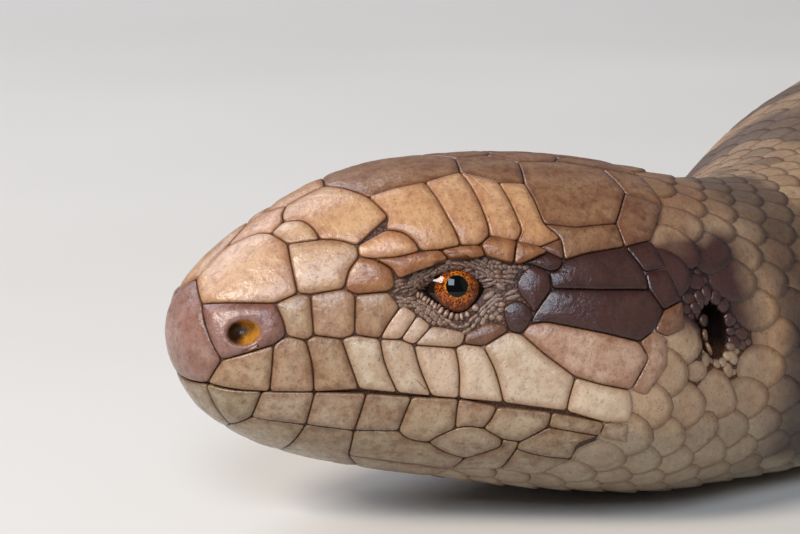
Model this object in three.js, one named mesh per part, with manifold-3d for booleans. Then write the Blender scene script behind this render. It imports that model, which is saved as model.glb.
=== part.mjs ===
// Eastern blue-tongued skink, life size, lying on its belly with its head turned to its right.
// Millimetres, +Z up. The animal's trunk lies along X with the snout towards -X, and the origin
// is on the floor under the middle of the belly.

import * as THREE from 'three';
import { mergeVertices } from 'three/addons/utils/BufferGeometryUtils.js';
import Module from 'manifold-3d';

const wasm = await Module();
wasm.setup();

// Driving dimensions
const snoutToVent = 286;
const tailLength = 176;
const headLength = 60;
const headTurn = THREE.MathUtils.degToRad(40); // to the animal's right, from the line of the trunk
const bellyMiddle = 175; // back from the snout, where the origin is
const seam = 0.3; // gap between neighbouring pieces
const mouthHeight = 17; // of the lips at the snout, over the floor
const eyeRadius = 4.4;
const nostrilRadius = 1.25;
const nostrilDepth = 2.5;
const nostrilTurn = 0.45; // forwards, in radians
const earHalfLength = 1.9;
const earHalfHeight = 3.1;
const earDepth = 3;
const eardrumThickness = 0.7;

// Stations of the body, each at its distance back from the snout: half width, heights of the
// back, the underside and the widest level over the floor, and how square the section is above
// and below that level (2 is an ellipse).
const stations = [
  { at: 0, half: 0, top: 22.0, low: 22.0, wide: 22.0, above: 2.0, below: 2.0 },
  { at: 0.6, half: 3.9, top: 24.3, low: 18.4, wide: 21.4, above: 2.1, below: 2.1 },
  { at: 1.5, half: 5.6, top: 25.9, low: 16.0, wide: 21.0, above: 2.1, below: 2.1 },
  { at: 3, half: 7.3, top: 27.8, low: 13.5, wide: 20.4, above: 2.1, below: 2.1 },
  { at: 6, half: 9.2, top: 30.6, low: 11.0, wide: 19.6, above: 2.1, below: 2.1 },
  { at: 10, half: 11.0, top: 33.1, low: 8.7, wide: 18.8, above: 2.2, below: 2.1 },
  { at: 15, half: 13.0, top: 35.6, low: 7.0, wide: 18.0, above: 2.3, below: 2.1 },
  { at: 20, half: 15.0, top: 37.4, low: 5.7, wide: 17.2, above: 2.4, below: 2.1 },
  { at: 25, half: 16.9, top: 38.4, low: 4.6, wide: 16.4, above: 2.4, below: 2.1 },
  { at: 30, half: 18.8, top: 38.7, low: 3.6, wide: 15.6, above: 2.4, below: 2.1 },
  { at: 36, half: 20.9, top: 38.7, low: 2.4, wide: 14.8, above: 2.35, below: 2.1 },
  { at: 42, half: 22.4, top: 38.3, low: 1.4, wide: 14.4, above: 2.3, below: 2.1 },
  { at: 48, half: 22.8, top: 37.6, low: 0.6, wide: 14.4, above: 2.25, below: 2.2 },
  { at: 54, half: 21.6, top: 36.3, low: 0.0, wide: 14.6, above: 2.2, below: 2.3 },
  { at: 60, half: 19.9, top: 34.9, low: -0.4, wide: 14.6, above: 2.15, below: 2.4 },
  { at: 70, half: 19.0, top: 33.6, low: -0.6, wide: 14.2, above: 2.1, below: 2.5 },
  { at: 82, half: 21.2, top: 34.2, low: -0.7, wide: 13.6, above: 2.1, below: 2.5 },
  { at: 100, half: 26.5, top: 36.8, low: -0.8, wide: 13.2, above: 2.1, below: 2.6 },
  { at: 130, half: 31.2, top: 40.0, low: -0.9, wide: 13.4, above: 2.15, below: 2.6 },
  { at: 175, half: 33.5, top: 41.5, low: -0.9, wide: 13.6, above: 2.15, below: 2.6 },
  { at: 220, half: 32.0, top: 40.0, low: -0.9, wide: 13.6, above: 2.15, below: 2.6 },
  { at: 250, half: 27.0, top: 36.0, low: -0.8, wide: 13.4, above: 2.1, below: 2.5 },
  { at: 270, half: 21.5, top: 31.5, low: -0.7, wide: 12.6, above: 2.1, below: 2.4 },
  { at: 286, half: 17.0, top: 27.0, low: -0.6, wide: 11.6, above: 2.05, below: 2.3 },
  { at: 310, half: 13.4, top: 22.6, low: -0.5, wide: 10.0, above: 2.0, below: 2.2 },
  { at: 350, half: 9.9, top: 17.2, low: -0.4, wide: 7.8, above: 2.0, below: 2.2 },
  { at: 400, half: 6.1, top: 10.8, low: -0.3, wide: 4.9, above: 2.0, below: 2.2 },
  { at: 440, half: 3.2, top: 5.8, low: -0.2, wide: 2.6, above: 2.0, below: 2.2 },
  { at: 462, half: 1.0, top: 2.0, low: -0.1, wide: 0.9, above: 2.0, below: 2.2 },
];

// Turns of the spine seen from above: each swings the heading by an angle between two distances.
const turns = [
  { from: 50, to: 92, by: headTurn },
  { from: 130, to: 235, by: THREE.MathUtils.degToRad(-9) },
  { from: 262, to: 340, by: THREE.MathUtils.degToRad(24) },
  { from: 350, to: 455, by: THREE.MathUtils.degToRad(26) },
];

const material = (colour, roughness) =>
  new THREE.MeshStandardMaterial({ color: colour, roughness, metalness: 0 });
const crownTan = material(0xb98a5e, 0.45);
const cheekCream = material(0xc9ab8b, 0.45);
const backBrown = material(0x8d7154, 0.45);
const limbBrown = material(0x6f5844, 0.5);
const irisAmber = material(0xa8541b, 0.1);
const drumGrey = material(0x4a3a33, 0.6);
const clawHorn = material(0x3a2c24, 0.35);

const smooth = (t) => {
  const k = THREE.MathUtils.clamp(t, 0, 1);
  return k * k * (3 - 2 * k);
};

// A monotone curve through the stations. It runs on the square root of the distance, which
// rounds the snout.
function profile(key) {
  const x = stations.map((s) => Math.sqrt(s.at));
  const y = stations.map((s) => s[key]);
  const rise = x.slice(1).map((_, i) => (y[i + 1] - y[i]) / (x[i + 1] - x[i]));
  const slope = y.map((_, i) => {
    if (i === 0) return rise[0];
    if (i === rise.length) return rise[i - 1];
    return rise[i - 1] * rise[i] <= 0 ? 0 : (2 * rise[i - 1] * rise[i]) / (rise[i - 1] + rise[i]);
  });
  return (at) => {
    const q = Math.sqrt(at);
    const beyond = x.findIndex((v) => v > q);
    const i = beyond < 0 ? x.length - 2 : Math.max(beyond - 1, 0);
    const h = x[i + 1] - x[i];
    const t = (q - x[i]) / h;
    const fromStart = (1 + 2 * t) * (1 - t) ** 2 * y[i] + t * (1 - t) ** 2 * h * slope[i];
    const fromEnd = t * t * (3 - 2 * t) * y[i + 1] + t * t * (t - 1) * h * slope[i + 1];
    return fromStart + fromEnd;
  };
}

const halfWidth = profile('half');
const backHeight = profile('top');
const bellyHeight = profile('low');
const widestHeight = profile('wide');
const squareAbove = profile('above');
const squareBelow = profile('below');

// The heading of the spine, from the snout backwards, as an angle from +X
function heading(at) {
  return turns.reduce((sum, t) => sum + t.by * smooth((at - t.from) / (t.to - t.from)), -headTurn);
}

// Points on the spine, one each millimetre, with the origin under the middle of the belly
const spine = [new THREE.Vector3()];
for (let s = 0; s < snoutToVent + tailLength; s++) {
  const a = heading(s + 0.5);
  spine.push(spine[s].clone().add(new THREE.Vector3(Math.cos(a), Math.sin(a), 0)));
}
const belly = spine[bellyMiddle].clone();
spine.forEach((p) => p.sub(belly));

function spineAt(at) {
  const s = THREE.MathUtils.clamp(at, 0, spine.length - 1.001);
  const i = Math.floor(s);
  return spine[i].clone().lerp(spine[i + 1], s - i);
}

function frameAt(at) {
  const a = heading(at);
  const back = new THREE.Vector3(Math.cos(a), Math.sin(a), 0);
  const up = new THREE.Vector3(0, 0, 1);
  return { point: spineAt(at), back, up, left: back.clone().cross(up) };
}

// Places on the head: back from the snout, out from the middle and up from the lips
const eyePlace = { back: 27.45, out: 11.25, up: 9.45 };
const nostrilPlace = { back: 5.1, out: 8.4, up: 6.1 };
const earPlace = { back: 54.6, out: 20.4, up: 4.2 };
const mouthCorner = { back: 42.5, up: -5.0 };

// Swellings (+) and hollows (-) of the head, each of a height that fades over a radius
const reliefs = [
  { back: 25.9, out: 15.8, up: 10.4, radius: 4.6, height: -1.3 }, // orbit
  { back: 24.5, out: 12.8, up: 16.2, radius: 5.0, height: 0.7 }, // brow
  { back: 4.8, out: 8.4, up: 6.0, radius: 3.4, height: 0.5 }, // nasal swelling
  { back: 15.0, out: 12.6, up: 6.5, radius: 4.5, height: -0.35 }, // in front of the eye
  { back: 33.0, out: 19.0, up: 7.5, radius: 5.0, height: -0.6 }, // behind the eye
  { back: 45.0, out: 22.0, up: -3.0, radius: 8.0, height: 0.6 }, // jaw muscle
];

function relief(at, out, up) {
  return reliefs.reduce((sum, r) => {
    const d2 = (at - r.back) ** 2 + (Math.abs(out) - r.out) ** 2 + (up - r.up) ** 2;
    return sum + r.height * Math.exp(-d2 / r.radius ** 2);
  }, 0);
}

// The height of the lips below their height at the snout
function lipDrop(back) {
  return mouthCorner.up * (back / mouthCorner.back) ** 2.6;
}

// A point of the skin, at an angle from the left side up over the back
function bodyPoint(at, angle, radial, grow = 0) {
  const c = Math.cos(angle);
  const s = Math.sin(angle);
  const power = 2 / (s > 0 ? squareAbove(at) : squareBelow(at));
  const wide = widestHeight(at);
  const reach = s > 0 ? backHeight(at) - wide : wide - bellyHeight(at);
  const out = Math.sign(c) * halfWidth(at) * Math.abs(c) ** power;
  const up = Math.sign(s) * reach * Math.abs(s) ** power;
  const bump = at < headLength + 8 ? relief(at, out, wide + up - mouthHeight) : 0;
  const size = Math.hypot(out, up) || 1;
  const scale = (radial * (size + bump + grow)) / size;
  const f = frameAt(at);
  const height = Math.max(wide + up * scale, radial > 0 ? -grow : 0);
  return f.point.addScaledVector(f.left, out * scale).setZ(height);
}

// A closed tube: the unit cylinder with each vertex moved to place(share along, angle, radial)
function tube(around, along, place) {
  const geometry = new THREE.CylinderGeometry(1, 1, 1, around, along);
  const p = geometry.attributes.position;
  for (let i = 0; i < p.count; i++) {
    const radial = Math.hypot(p.getX(i), p.getZ(i));
    const angle = Math.atan2(p.getZ(i), p.getX(i));
    const to = place(0.5 + p.getY(i), angle, Math.min(radial, 1));
    p.setXYZ(i, to.x, to.y, to.z);
  }
  return geometry;
}

function solid(geometry) {
  const bare = geometry.clone();
  bare.deleteAttribute('normal');
  bare.deleteAttribute('uv');
  const merged = mergeVertices(bare, 1e-4);
  return new wasm.Manifold(
    new wasm.Mesh({
      numProp: 3,
      vertProperties: new Float32Array(merged.attributes.position.array),
      triVerts: new Uint32Array(merged.index.array),
    }),
  );
}

function geometryOf(manifold) {
  const mesh = manifold.getMesh();
  const geometry = new THREE.BufferGeometry();
  geometry.setAttribute('position', new THREE.BufferAttribute(mesh.vertProperties, 3));
  geometry.setIndex(new THREE.BufferAttribute(mesh.triVerts, 1));
  return geometry;
}

const skink = new THREE.Group();

function addPiece(parent, name, geometry, look) {
  const mesh = new THREE.Mesh(geometry, look);
  mesh.name = name;
  parent.add(mesh);
  return mesh;
}

function largest(manifold) {
  return manifold.decompose().sort((a, b) => b.volume() - a.volume())[0];
}

// A length of the body between two distances from the snout, closed with flat ends
function bodyLength(from, to, around, along, spread = 1, grow = 0) {
  return tube(around, along, (share, angle, radial) =>
    bodyPoint(from + (to - from) * share ** spread, angle, radial, grow),
  );
}

// The head's own frame: x back, y up, z to the animal's left, from the lips at the snout
const headFrame = (() => {
  const f = frameAt(0);
  return new THREE.Matrix4()
    .makeBasis(f.back, f.up, f.left)
    .setPosition(f.point.x, f.point.y, mouthHeight);
})();
const headGroup = new THREE.Group();
headGroup.applyMatrix4(headFrame);
skink.add(headGroup);

// A tool set at a place on one side of the head
function headTool(geometry, place, side) {
  geometry.translate(place.back, place.up, side * place.out);
  return solid(geometry.applyMatrix4(headFrame));
}

// The parting between head and lower jaw: a thin sheet along the lips, then down behind the
// corner of the mouth
function mouthParting() {
  const line = [];
  const steps = 15;
  for (let i = -1; i <= steps; i++) {
    const back = (mouthCorner.back * i) / steps;
    line.push(new THREE.Vector2(back, lipDrop(Math.max(back, 0))));
  }
  const last = line[line.length - 1];
  const jawAngle = { back: last.x + 2.5, up: last.y - 3 };
  line.push(new THREE.Vector2(jawAngle.back, jawAngle.up));
  line.push(new THREE.Vector2(jawAngle.back + 1, -mouthHeight - 1));
  const normals = line.map((p, i) => {
    const a = line[Math.max(i - 1, 0)];
    const b = line[Math.min(i + 1, line.length - 1)];
    return new THREE.Vector2(a.y - b.y, b.x - a.x).normalize().multiplyScalar(seam / 2);
  });
  const above = line.map((p, i) => p.clone().add(normals[i]));
  const below = line.map((p, i) => p.clone().sub(normals[i])).reverse();
  const outline = new THREE.Shape([...above, ...below]);
  const sheet = new THREE.ExtrudeGeometry(outline, { depth: headLength, bevelEnabled: false });
  sheet.translate(0, 0, -headLength / 2);
  return solid(sheet.applyMatrix4(headFrame));
}

// An upright oval, as thick as given, that lies across the ear or fills it
function earOval(clearance, thickness) {
  const oval = new THREE.CylinderGeometry(1, 1, thickness, 14, 1);
  return oval.rotateX(Math.PI / 2).scale(earHalfLength - clearance, earHalfHeight - clearance, 1);
}

function buildHead() {
  let head = solid(bodyLength(0.12, headLength - seam / 2, 34, 24, 1.7));
  for (const side of [1, -1]) {
    const socket = new THREE.SphereGeometry(eyeRadius + seam, 14, 9);
    head = head.subtract(headTool(socket, eyePlace, side));
    const reach = 2 * nostrilDepth;
    const nostril = new THREE.CylinderGeometry(nostrilRadius, nostrilRadius * 0.6, reach, 10, 1);
    nostril.rotateX((side * Math.PI) / 2).rotateY(side * nostrilTurn);
    head = head.subtract(headTool(nostril, nostrilPlace, side));
    const ear = { ...earPlace, out: earPlace.out + earDepth };
    head = head.subtract(headTool(earOval(0, 4 * earDepth), ear, side));
  }
  const parts = head.subtract(mouthParting()).decompose();
  parts.sort((a, b) => b.volume() - a.volume());
  addPiece(skink, 'head', geometryOf(parts[0]), crownTan);
  addPiece(skink, 'lower_jaw', geometryOf(parts[1]), cheekCream);
}

function buildEyesAndEars() {
  for (const [word, side] of [['left', 1], ['right', -1]]) {
    const ball = new THREE.SphereGeometry(eyeRadius, 14, 9);
    const eye = addPiece(headGroup, `eye_${word}`, ball, irisAmber);
    eye.position.set(eyePlace.back, eyePlace.up, side * eyePlace.out);
    const drum = earOval(seam, eardrumThickness);
    const ear = addPiece(headGroup, `eardrum_${word}`, drum, drumGrey);
    const out = earPlace.out - earDepth + seam + eardrumThickness / 2;
    ear.position.set(earPlace.back, earPlace.up, side * out);
  }
}

const lengths = [
  { name: 'neck', from: headLength, to: 90, around: 26, along: 7, look: backBrown },
  { name: 'trunk_front', from: 90, to: 155, around: 24, along: 7, look: backBrown },
  { name: 'trunk_middle', from: 155, to: 220, around: 24, along: 5, look: backBrown },
  { name: 'trunk_rear', from: 220, to: 286, around: 24, along: 7, look: backBrown },
  { name: 'tail_base', from: 286, to: 340, around: 16, along: 6, look: backBrown },
  { name: 'tail_middle', from: 340, to: 400, around: 14, along: 6, look: backBrown },
  { name: 'tail_tip', from: 400, to: 462, around: 10, along: 6, look: backBrown },
];

function buildLengths() {
  for (const l of lengths) {
    const geometry = bodyLength(l.from + seam / 2, l.to - seam / 2, l.around, l.along);
    addPiece(skink, l.name, geometry, l.look);
  }
}

// Limbs: joints placed from the spine (distance back, out from the middle, height), with the
// radius of the limb at each joint and the direction of the toes, turned out from the spine.
const limbs = [
  {
    names: ['upper_arm', 'forearm', 'hand'],
    girdle: { at: 103, out: 19, up: 13, radius: 7.4 },
    bend: { at: 112, out: 39, up: 10.5, radius: 5.6 },
    wrist: { at: 97, out: 49, up: 4.8, radius: 3.7 },
    toesTurned: 22,
    toes: [5.2, 7.4, 8.8, 8.6, 6.0],
    sole: 6.4,
  },
  {
    names: ['thigh', 'shank', 'foot'],
    girdle: { at: 268, out: 12, up: 12.5, radius: 8.6 },
    bend: { at: 252, out: 35, up: 10.5, radius: 6.4 },
    wrist: { at: 268, out: 46, up: 5.0, radius: 4.0 },
    toesTurned: 48,
    toes: [5.4, 7.8, 9.6, 10.0, 6.6],
    sole: 7.0,
  },
];
const toeFan = THREE.MathUtils.degToRad(21);
const toeSpacing = 2.3;
const palmHeight = 2.6;

function placeFromSpine(p, side) {
  const f = frameAt(p.at);
  return f.point.addScaledVector(f.left, side * p.out).setZ(p.up);
}

// A sphere drawn out from one point to another, with a radius at each, flattened upwards by a
// factor and kept over the floor
function capsule(from, to, fromRadius, toRadius, flat = 1, around = 10) {
  const ball = new THREE.SphereGeometry(1, around, 7);
  const along = to.clone().sub(from).normalize();
  const side = new THREE.Vector3(0, 0, 1).cross(along).normalize();
  const up = along.clone().cross(side);
  const p = ball.attributes.position;
  for (let i = 0; i < p.count; i++) {
    const end = p.getY(i) > 0 ? to : from;
    const r = p.getY(i) > 0 ? toRadius : fromRadius;
    const moved = end.clone().addScaledVector(along, p.getY(i) * r);
    moved.addScaledVector(side, -p.getX(i) * r).addScaledVector(up, p.getZ(i) * r * flat);
    p.setXYZ(i, moved.x, moved.y, Math.max(moved.z, 0));
  }
  return solid(ball);
}

// A round tube along a curve, with its radius given by its share of the curve and its
// underside kept over the floor
function curvedTube(curve, radius, around, along) {
  return tube(around, along, (t, angle, radial) => {
    const centre = curve.getPoint(t);
    const back = curve.getTangent(t);
    const side = new THREE.Vector3(0, 0, 1).cross(back).normalize();
    const up = back.clone().cross(side);
    const r = radius(t) * radial;
    centre.addScaledVector(side, r * Math.cos(angle)).addScaledVector(up, -r * Math.sin(angle));
    return centre.setZ(Math.max(centre.z, 0));
  });
}

// A toe arches from the sole to its knuckle and comes down to its tip
function toe(root, direction, length, radius) {
  const along = (share, height) =>
    root.clone().addScaledVector(direction, length * share).setZ(height * radius);
  const points = [along(-0.4, 1.2), along(0, 1.35), along(0.5, 1.3), along(1, 0.9)];
  const curve = new THREE.CatmullRomCurve3(points);
  const geometry = curvedTube(curve, (t) => radius * (1.1 - 0.3 * t), 6, 3);
  return { tip: points[3], geometry };
}

function claw(tip, direction, radius) {
  const at = (share, height) =>
    tip.clone().addScaledVector(direction, seam + share * radius * 2.7).setZ(height);
  const arch = new THREE.QuadraticBezierCurve3(at(0, tip.z), at(0.6, tip.z + 0.6), at(1, 0.35));
  return curvedTube(arch, (t) => radius * (0.62 - 0.44 * t), 5, 3);
}

function buildLimb(limb, side, word, bodyAround) {
  const [girdle, bend, wrist] = [limb.girdle, limb.bend, limb.wrist];
  const places = [girdle, bend, wrist].map((j) => placeFromSpine(j, side));
  const upper = (grow) =>
    capsule(places[0], places[1], girdle.radius + grow, bend.radius + grow);
  const lower = (grow) =>
    capsule(places[1], places[2], bend.radius - 0.6 + grow, wrist.radius + grow);
  const upperFlesh = largest(upper(0).subtract(bodyAround));
  const lowerFlesh = largest(lower(0).subtract(upper(seam)).subtract(bodyAround));
  addPiece(skink, `${limb.names[0]}_${word}`, geometryOf(upperFlesh), limbBrown);
  addPiece(skink, `${limb.names[1]}_${word}`, geometryOf(lowerFlesh), limbBrown);

  const f = frameAt(limb.wrist.at);
  const turned = THREE.MathUtils.degToRad(limb.toesTurned) * side;
  const forward = f.back.clone().negate().applyAxisAngle(f.up, turned);
  const across = forward.clone().cross(f.up).multiplyScalar(-side);
  const palm = places[2].clone().addScaledVector(forward, limb.sole).setZ(palmHeight * 0.8);
  let hand = capsule(places[2], palm, wrist.radius - 0.2, wrist.radius + 1.0, 0.8);
  limb.toes.forEach((length, i) => {
    const direction = forward.clone().applyAxisAngle(f.up, (i - 2) * toeFan * side);
    const root = palm.clone().addScaledVector(across, (i - 2) * toeSpacing);
    root.addScaledVector(forward, 3.6 - Math.abs(i - 2) * 1.2);
    const thick = i === 0 || i === 4 ? 1.4 : 1.6;
    const digit = toe(root, direction, length, thick);
    hand = hand.add(solid(digit.geometry));
    addPiece(
      skink,
      `claw_${limb.names[2]}_${word}_${i + 1}`,
      claw(digit.tip, direction, thick),
      clawHorn,
    );
  });
  const handFlesh = largest(hand.subtract(lower(seam)));
  addPiece(skink, `${limb.names[2]}_${word}`, geometryOf(handFlesh), limbBrown);
}

buildHead();
buildEyesAndEars();
buildLengths();
const clearFrom = 86;
const clearTo = 300;
const clearOfBody = solid(bodyLength(clearFrom, clearTo, 24, 24, 1, seam));
for (const limb of limbs) {
  buildLimb(limb, 1, 'left', clearOfBody);
  buildLimb(limb, -1, 'right', clearOfBody);
}

export default skink;
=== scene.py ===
"""Life-size eastern blue-tongued skink, lying still with its head turned to its right.

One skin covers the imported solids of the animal, and solid scales lie over it: shields on the
head, one by one as on the living animal, and overlapping rounded scales on the rest.
Head measures are in millimetres: back from the snout, out from the middle and up from the lips.
"""

import math

import bpy
import numpy as np
from bpy.props import FloatProperty, FloatVectorProperty, IntProperty, PointerProperty
from bpy.types import Operator, Panel, PropertyGroup
from mathutils import Matrix, Vector
from mathutils.bvhtree import BVHTree
from mathutils.noise import noise as noise_at


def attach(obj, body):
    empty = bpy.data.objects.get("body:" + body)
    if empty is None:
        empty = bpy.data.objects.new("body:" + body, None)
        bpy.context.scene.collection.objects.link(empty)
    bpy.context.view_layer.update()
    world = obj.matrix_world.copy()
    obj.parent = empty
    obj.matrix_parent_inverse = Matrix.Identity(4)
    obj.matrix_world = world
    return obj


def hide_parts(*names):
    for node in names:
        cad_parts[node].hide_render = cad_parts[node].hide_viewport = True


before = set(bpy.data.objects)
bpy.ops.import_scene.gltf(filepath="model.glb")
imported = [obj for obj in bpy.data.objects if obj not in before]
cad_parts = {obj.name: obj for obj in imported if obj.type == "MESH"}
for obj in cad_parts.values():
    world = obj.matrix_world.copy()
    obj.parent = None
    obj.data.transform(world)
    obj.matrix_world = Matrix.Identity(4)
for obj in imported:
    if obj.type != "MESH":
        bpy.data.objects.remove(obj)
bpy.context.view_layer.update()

bl_info = {
    "name": "Blue-tongued Skink",
    "version": (1, 0, 0),
    "blender": (4, 5, 0),
    "location": "View3D > Sidebar > Skink",
    "description": "Builds a life-size blue-tongued skink over its packed solids",
    "category": "Add Mesh",
}

MM = 0.001

# The spine as the solids have it, in millimetres and degrees: the head's turn, the distance from
# the snout that lies over the origin, and each bend between two distances.
SNOUT_TO_VENT = 286.0
BODY_LENGTH = 462.0
HEAD_TURN = -40.0
ORIGIN_AT = 175
SPINE_BENDS = ((50, 92, 40), (130, 235, -9), (262, 340, 24), (350, 455, 26))
LIP_HEIGHT = 17.0

# Eyes, nostrils and ears, from the head's own origin at the lips under the snout
EYE_CENTRE = (27.45, 11.25, 9.45)
EYE_RADIUS = 4.4
PUPIL_PLACE = (26.55, 15.3, 10.6)
NOSTRIL_PLACE = (5.6, 7.5, 5.9)
EAR_PLACE = (54.6, 20.4, 4.2)
EAR_HALF = (1.9, 3.1)

FLESH = (
    ["head", "lower_jaw", "neck", "trunk_front", "trunk_middle", "trunk_rear"]
    + ["tail_base", "tail_middle", "tail_tip"]
)
LIMB_FLESH = [
    f"{part}_{word}"
    for part in ("upper_arm", "forearm", "hand", "thigh", "shank", "foot")
    for word in ("left", "right")
]
EARDRUMS = ["eardrum_left", "eardrum_right"]
EYES = ["eye_left", "eye_right"]


def linear(hex_colour):
    """The linear colour of an sRGB hex value."""
    parts = [int(hex_colour[i:i + 2], 16) / 255 for i in (1, 3, 5)]
    return tuple(c / 12.92 if c <= 0.04045 else ((c + 0.055) / 1.055) ** 2.4 for c in parts)


def smooth(k):
    k = np.clip(k, 0.0, 1.0)
    return k * k * (3 - 2 * k)


def unit(v):
    v = np.asarray(v, float)
    return v / np.linalg.norm(v, axis=-1, keepdims=True)


# Frames of the body and the head


def heading(at):
    turned = np.full(np.shape(at), HEAD_TURN, float)
    for start, end, by in SPINE_BENDS:
        turned = turned + by * smooth((np.asarray(at, float) - start) / (end - start))
    return np.radians(turned)


def spine_points():
    """Places of the spine seen from above, one for each millimetre from the snout."""
    steps = heading(np.arange(int(BODY_LENGTH)) + 0.5)
    xy = np.zeros((int(BODY_LENGTH) + 1, 2))
    xy[1:] = np.cumsum(np.stack([np.cos(steps), np.sin(steps)], 1), 0)
    return xy - xy[ORIGIN_AT]


SPINE = spine_points()


def from_spine(at, out, up):
    """World places, in mm, at a distance along the spine, out to the left and up."""
    at, out, up = np.broadcast_arrays(np.asarray(at, float), out, up)
    h = heading(at)
    x = np.interp(at, np.arange(len(SPINE)), SPINE[:, 0]) + np.sin(h) * out
    y = np.interp(at, np.arange(len(SPINE)), SPINE[:, 1]) - np.cos(h) * out
    return np.stack([x, y, up], -1)


def to_spine(points):
    """Distance along the spine and out to the left of world places in mm, by the nearest point."""
    xy = np.asarray(points)[:, :2]
    at = np.empty(len(xy))
    for low in range(0, len(xy), 20000):
        part = xy[low:low + 20000]
        gaps = ((part[:, None] - SPINE[None]) ** 2).sum(2)
        at[low:low + 20000] = gaps.argmin(1)
    h = heading(at)
    off = xy - np.stack([np.interp(at, np.arange(len(SPINE)), SPINE[:, i]) for i in (0, 1)], 1)
    at = at + off[:, 0] * np.cos(h) + off[:, 1] * np.sin(h)
    return at, off[:, 0] * np.sin(h) - off[:, 1] * np.cos(h)


TURN = math.radians(HEAD_TURN)
# Half the trunk's width at distances along the spine, in mm
HALF_WIDTHS = (
    (0, 7), (20, 15), (42, 22.4), (60, 20), (70, 19), (82, 21.2), (100, 26.5), (130, 31.2),
    (175, 33.5), (220, 32), (250, 27), (270, 21.5), (286, 17), (350, 9.9), (400, 6.1), (462, 1),
)


def half_width(at):
    return np.interp(at, *zip(*HALF_WIDTHS))


HEAD_AXES = np.array(
    [
        [math.cos(TURN), math.sin(TURN), 0],
        [math.sin(TURN), -math.cos(TURN), 0],
        [0, 0, 1],
    ]
)
HEAD_ORIGIN = np.array([SPINE[0, 0], SPINE[0, 1], LIP_HEIGHT])


def head_to_world(p):
    return HEAD_ORIGIN + np.asarray(p, float) @ HEAD_AXES


def world_to_head(p):
    return (np.asarray(p, float) - HEAD_ORIGIN) @ HEAD_AXES.T


# Modelling helpers


def deselect():
    if bpy.context.object and bpy.context.object.mode != "OBJECT":
        bpy.ops.object.mode_set(mode="OBJECT")
    bpy.ops.object.select_all(action="DESELECT")


def select_only(*objects):
    deselect()
    for obj in objects:
        obj.select_set(True)
    bpy.context.view_layer.objects.active = objects[0]


def apply_modifier(obj, kind, **settings):
    select_only(obj)
    modifier = obj.modifiers.new(kind.title(), kind)
    for key, value in settings.items():
        setattr(modifier, key, value)
    bpy.ops.object.modifier_apply(modifier=modifier.name)


def points_of(obj):
    co = np.empty(len(obj.data.vertices) * 3, np.float32)
    obj.data.vertices.foreach_get("co", co)
    return co.reshape(-1, 3).astype(float) / MM


def set_points(obj, points):
    obj.data.vertices.foreach_set("co", (np.asarray(points) * MM).astype(np.float32).ravel())
    obj.data.update()


def select_vertices(obj, chosen):
    """Selects vertices in object mode, ready for an edit-mode operator."""
    mesh = obj.data
    mesh.polygons.foreach_set("select", np.zeros(len(mesh.polygons), bool))
    mesh.edges.foreach_set("select", np.zeros(len(mesh.edges), bool))
    mesh.vertices.foreach_set("select", np.asarray(chosen, bool))


def edit(obj, mode="VERT"):
    select_mode = {"VERT": (True, False, False), "FACE": (False, False, True)}[mode]
    bpy.context.view_layer.objects.active = obj
    bpy.context.tool_settings.mesh_select_mode = select_mode
    bpy.ops.object.mode_set(mode="EDIT")


def joined_copy(nodes, name):
    """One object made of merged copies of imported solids."""
    copies = []
    for node in nodes:
        obj = bpy.data.objects.new(name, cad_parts[node].data.copy())
        bpy.context.scene.collection.objects.link(obj)
        copies.append(obj)
    select_only(*copies)
    if len(copies) > 1:
        bpy.ops.object.join()
    obj = copies[0]
    obj.name = obj.data.name = name
    obj.data.materials.clear()
    edit(obj)
    bpy.ops.mesh.select_all(action="SELECT")
    bpy.ops.mesh.remove_doubles(threshold=1e-6)
    bpy.ops.object.mode_set(mode="OBJECT")
    return obj


class Surface:
    """A mesh that scales are laid on, in mm: nearest places, rays and smooth normals."""

    def __init__(self, obj):
        self.points = points_of(obj)
        mesh = obj.data
        normals = np.empty(len(mesh.vertices) * 3, np.float32)
        mesh.vertex_normals.foreach_get("vector", normals)
        self.normals = normals.reshape(-1, 3).astype(float)
        self.faces = [tuple(p.vertices) for p in mesh.polygons]
        self.tree = BVHTree.FromPolygons([Vector(p) for p in self.points], self.faces)

    def _normal(self, place, face):
        corners = list(self.faces[face])
        gaps = self.points[corners] - place
        weights = 1 / ((gaps ** 2).sum(1) + 1e-6)
        return (self.normals[corners] * weights[:, None]).sum(0) / weights.sum()

    def snap(self, points):
        places = np.empty((len(points), 3))
        normals = np.empty((len(points), 3))
        for i, p in enumerate(points):
            place, _, face, _ = self.tree.find_nearest(Vector(p))
            places[i] = place
            normals[i] = self._normal(places[i], face)
        return places, unit(normals)

    def cast(self, origins, directions, reach=1000.0):
        places = np.full((len(origins), 3), np.nan)
        normals = np.zeros((len(origins), 3))
        for i, (o, d) in enumerate(zip(origins, directions)):
            place, _, face, _ = self.tree.ray_cast(Vector(o), Vector(d), reach)
            if place is not None:
                places[i] = place
                normals[i] = self._normal(places[i], face)
        return places, normals


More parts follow.
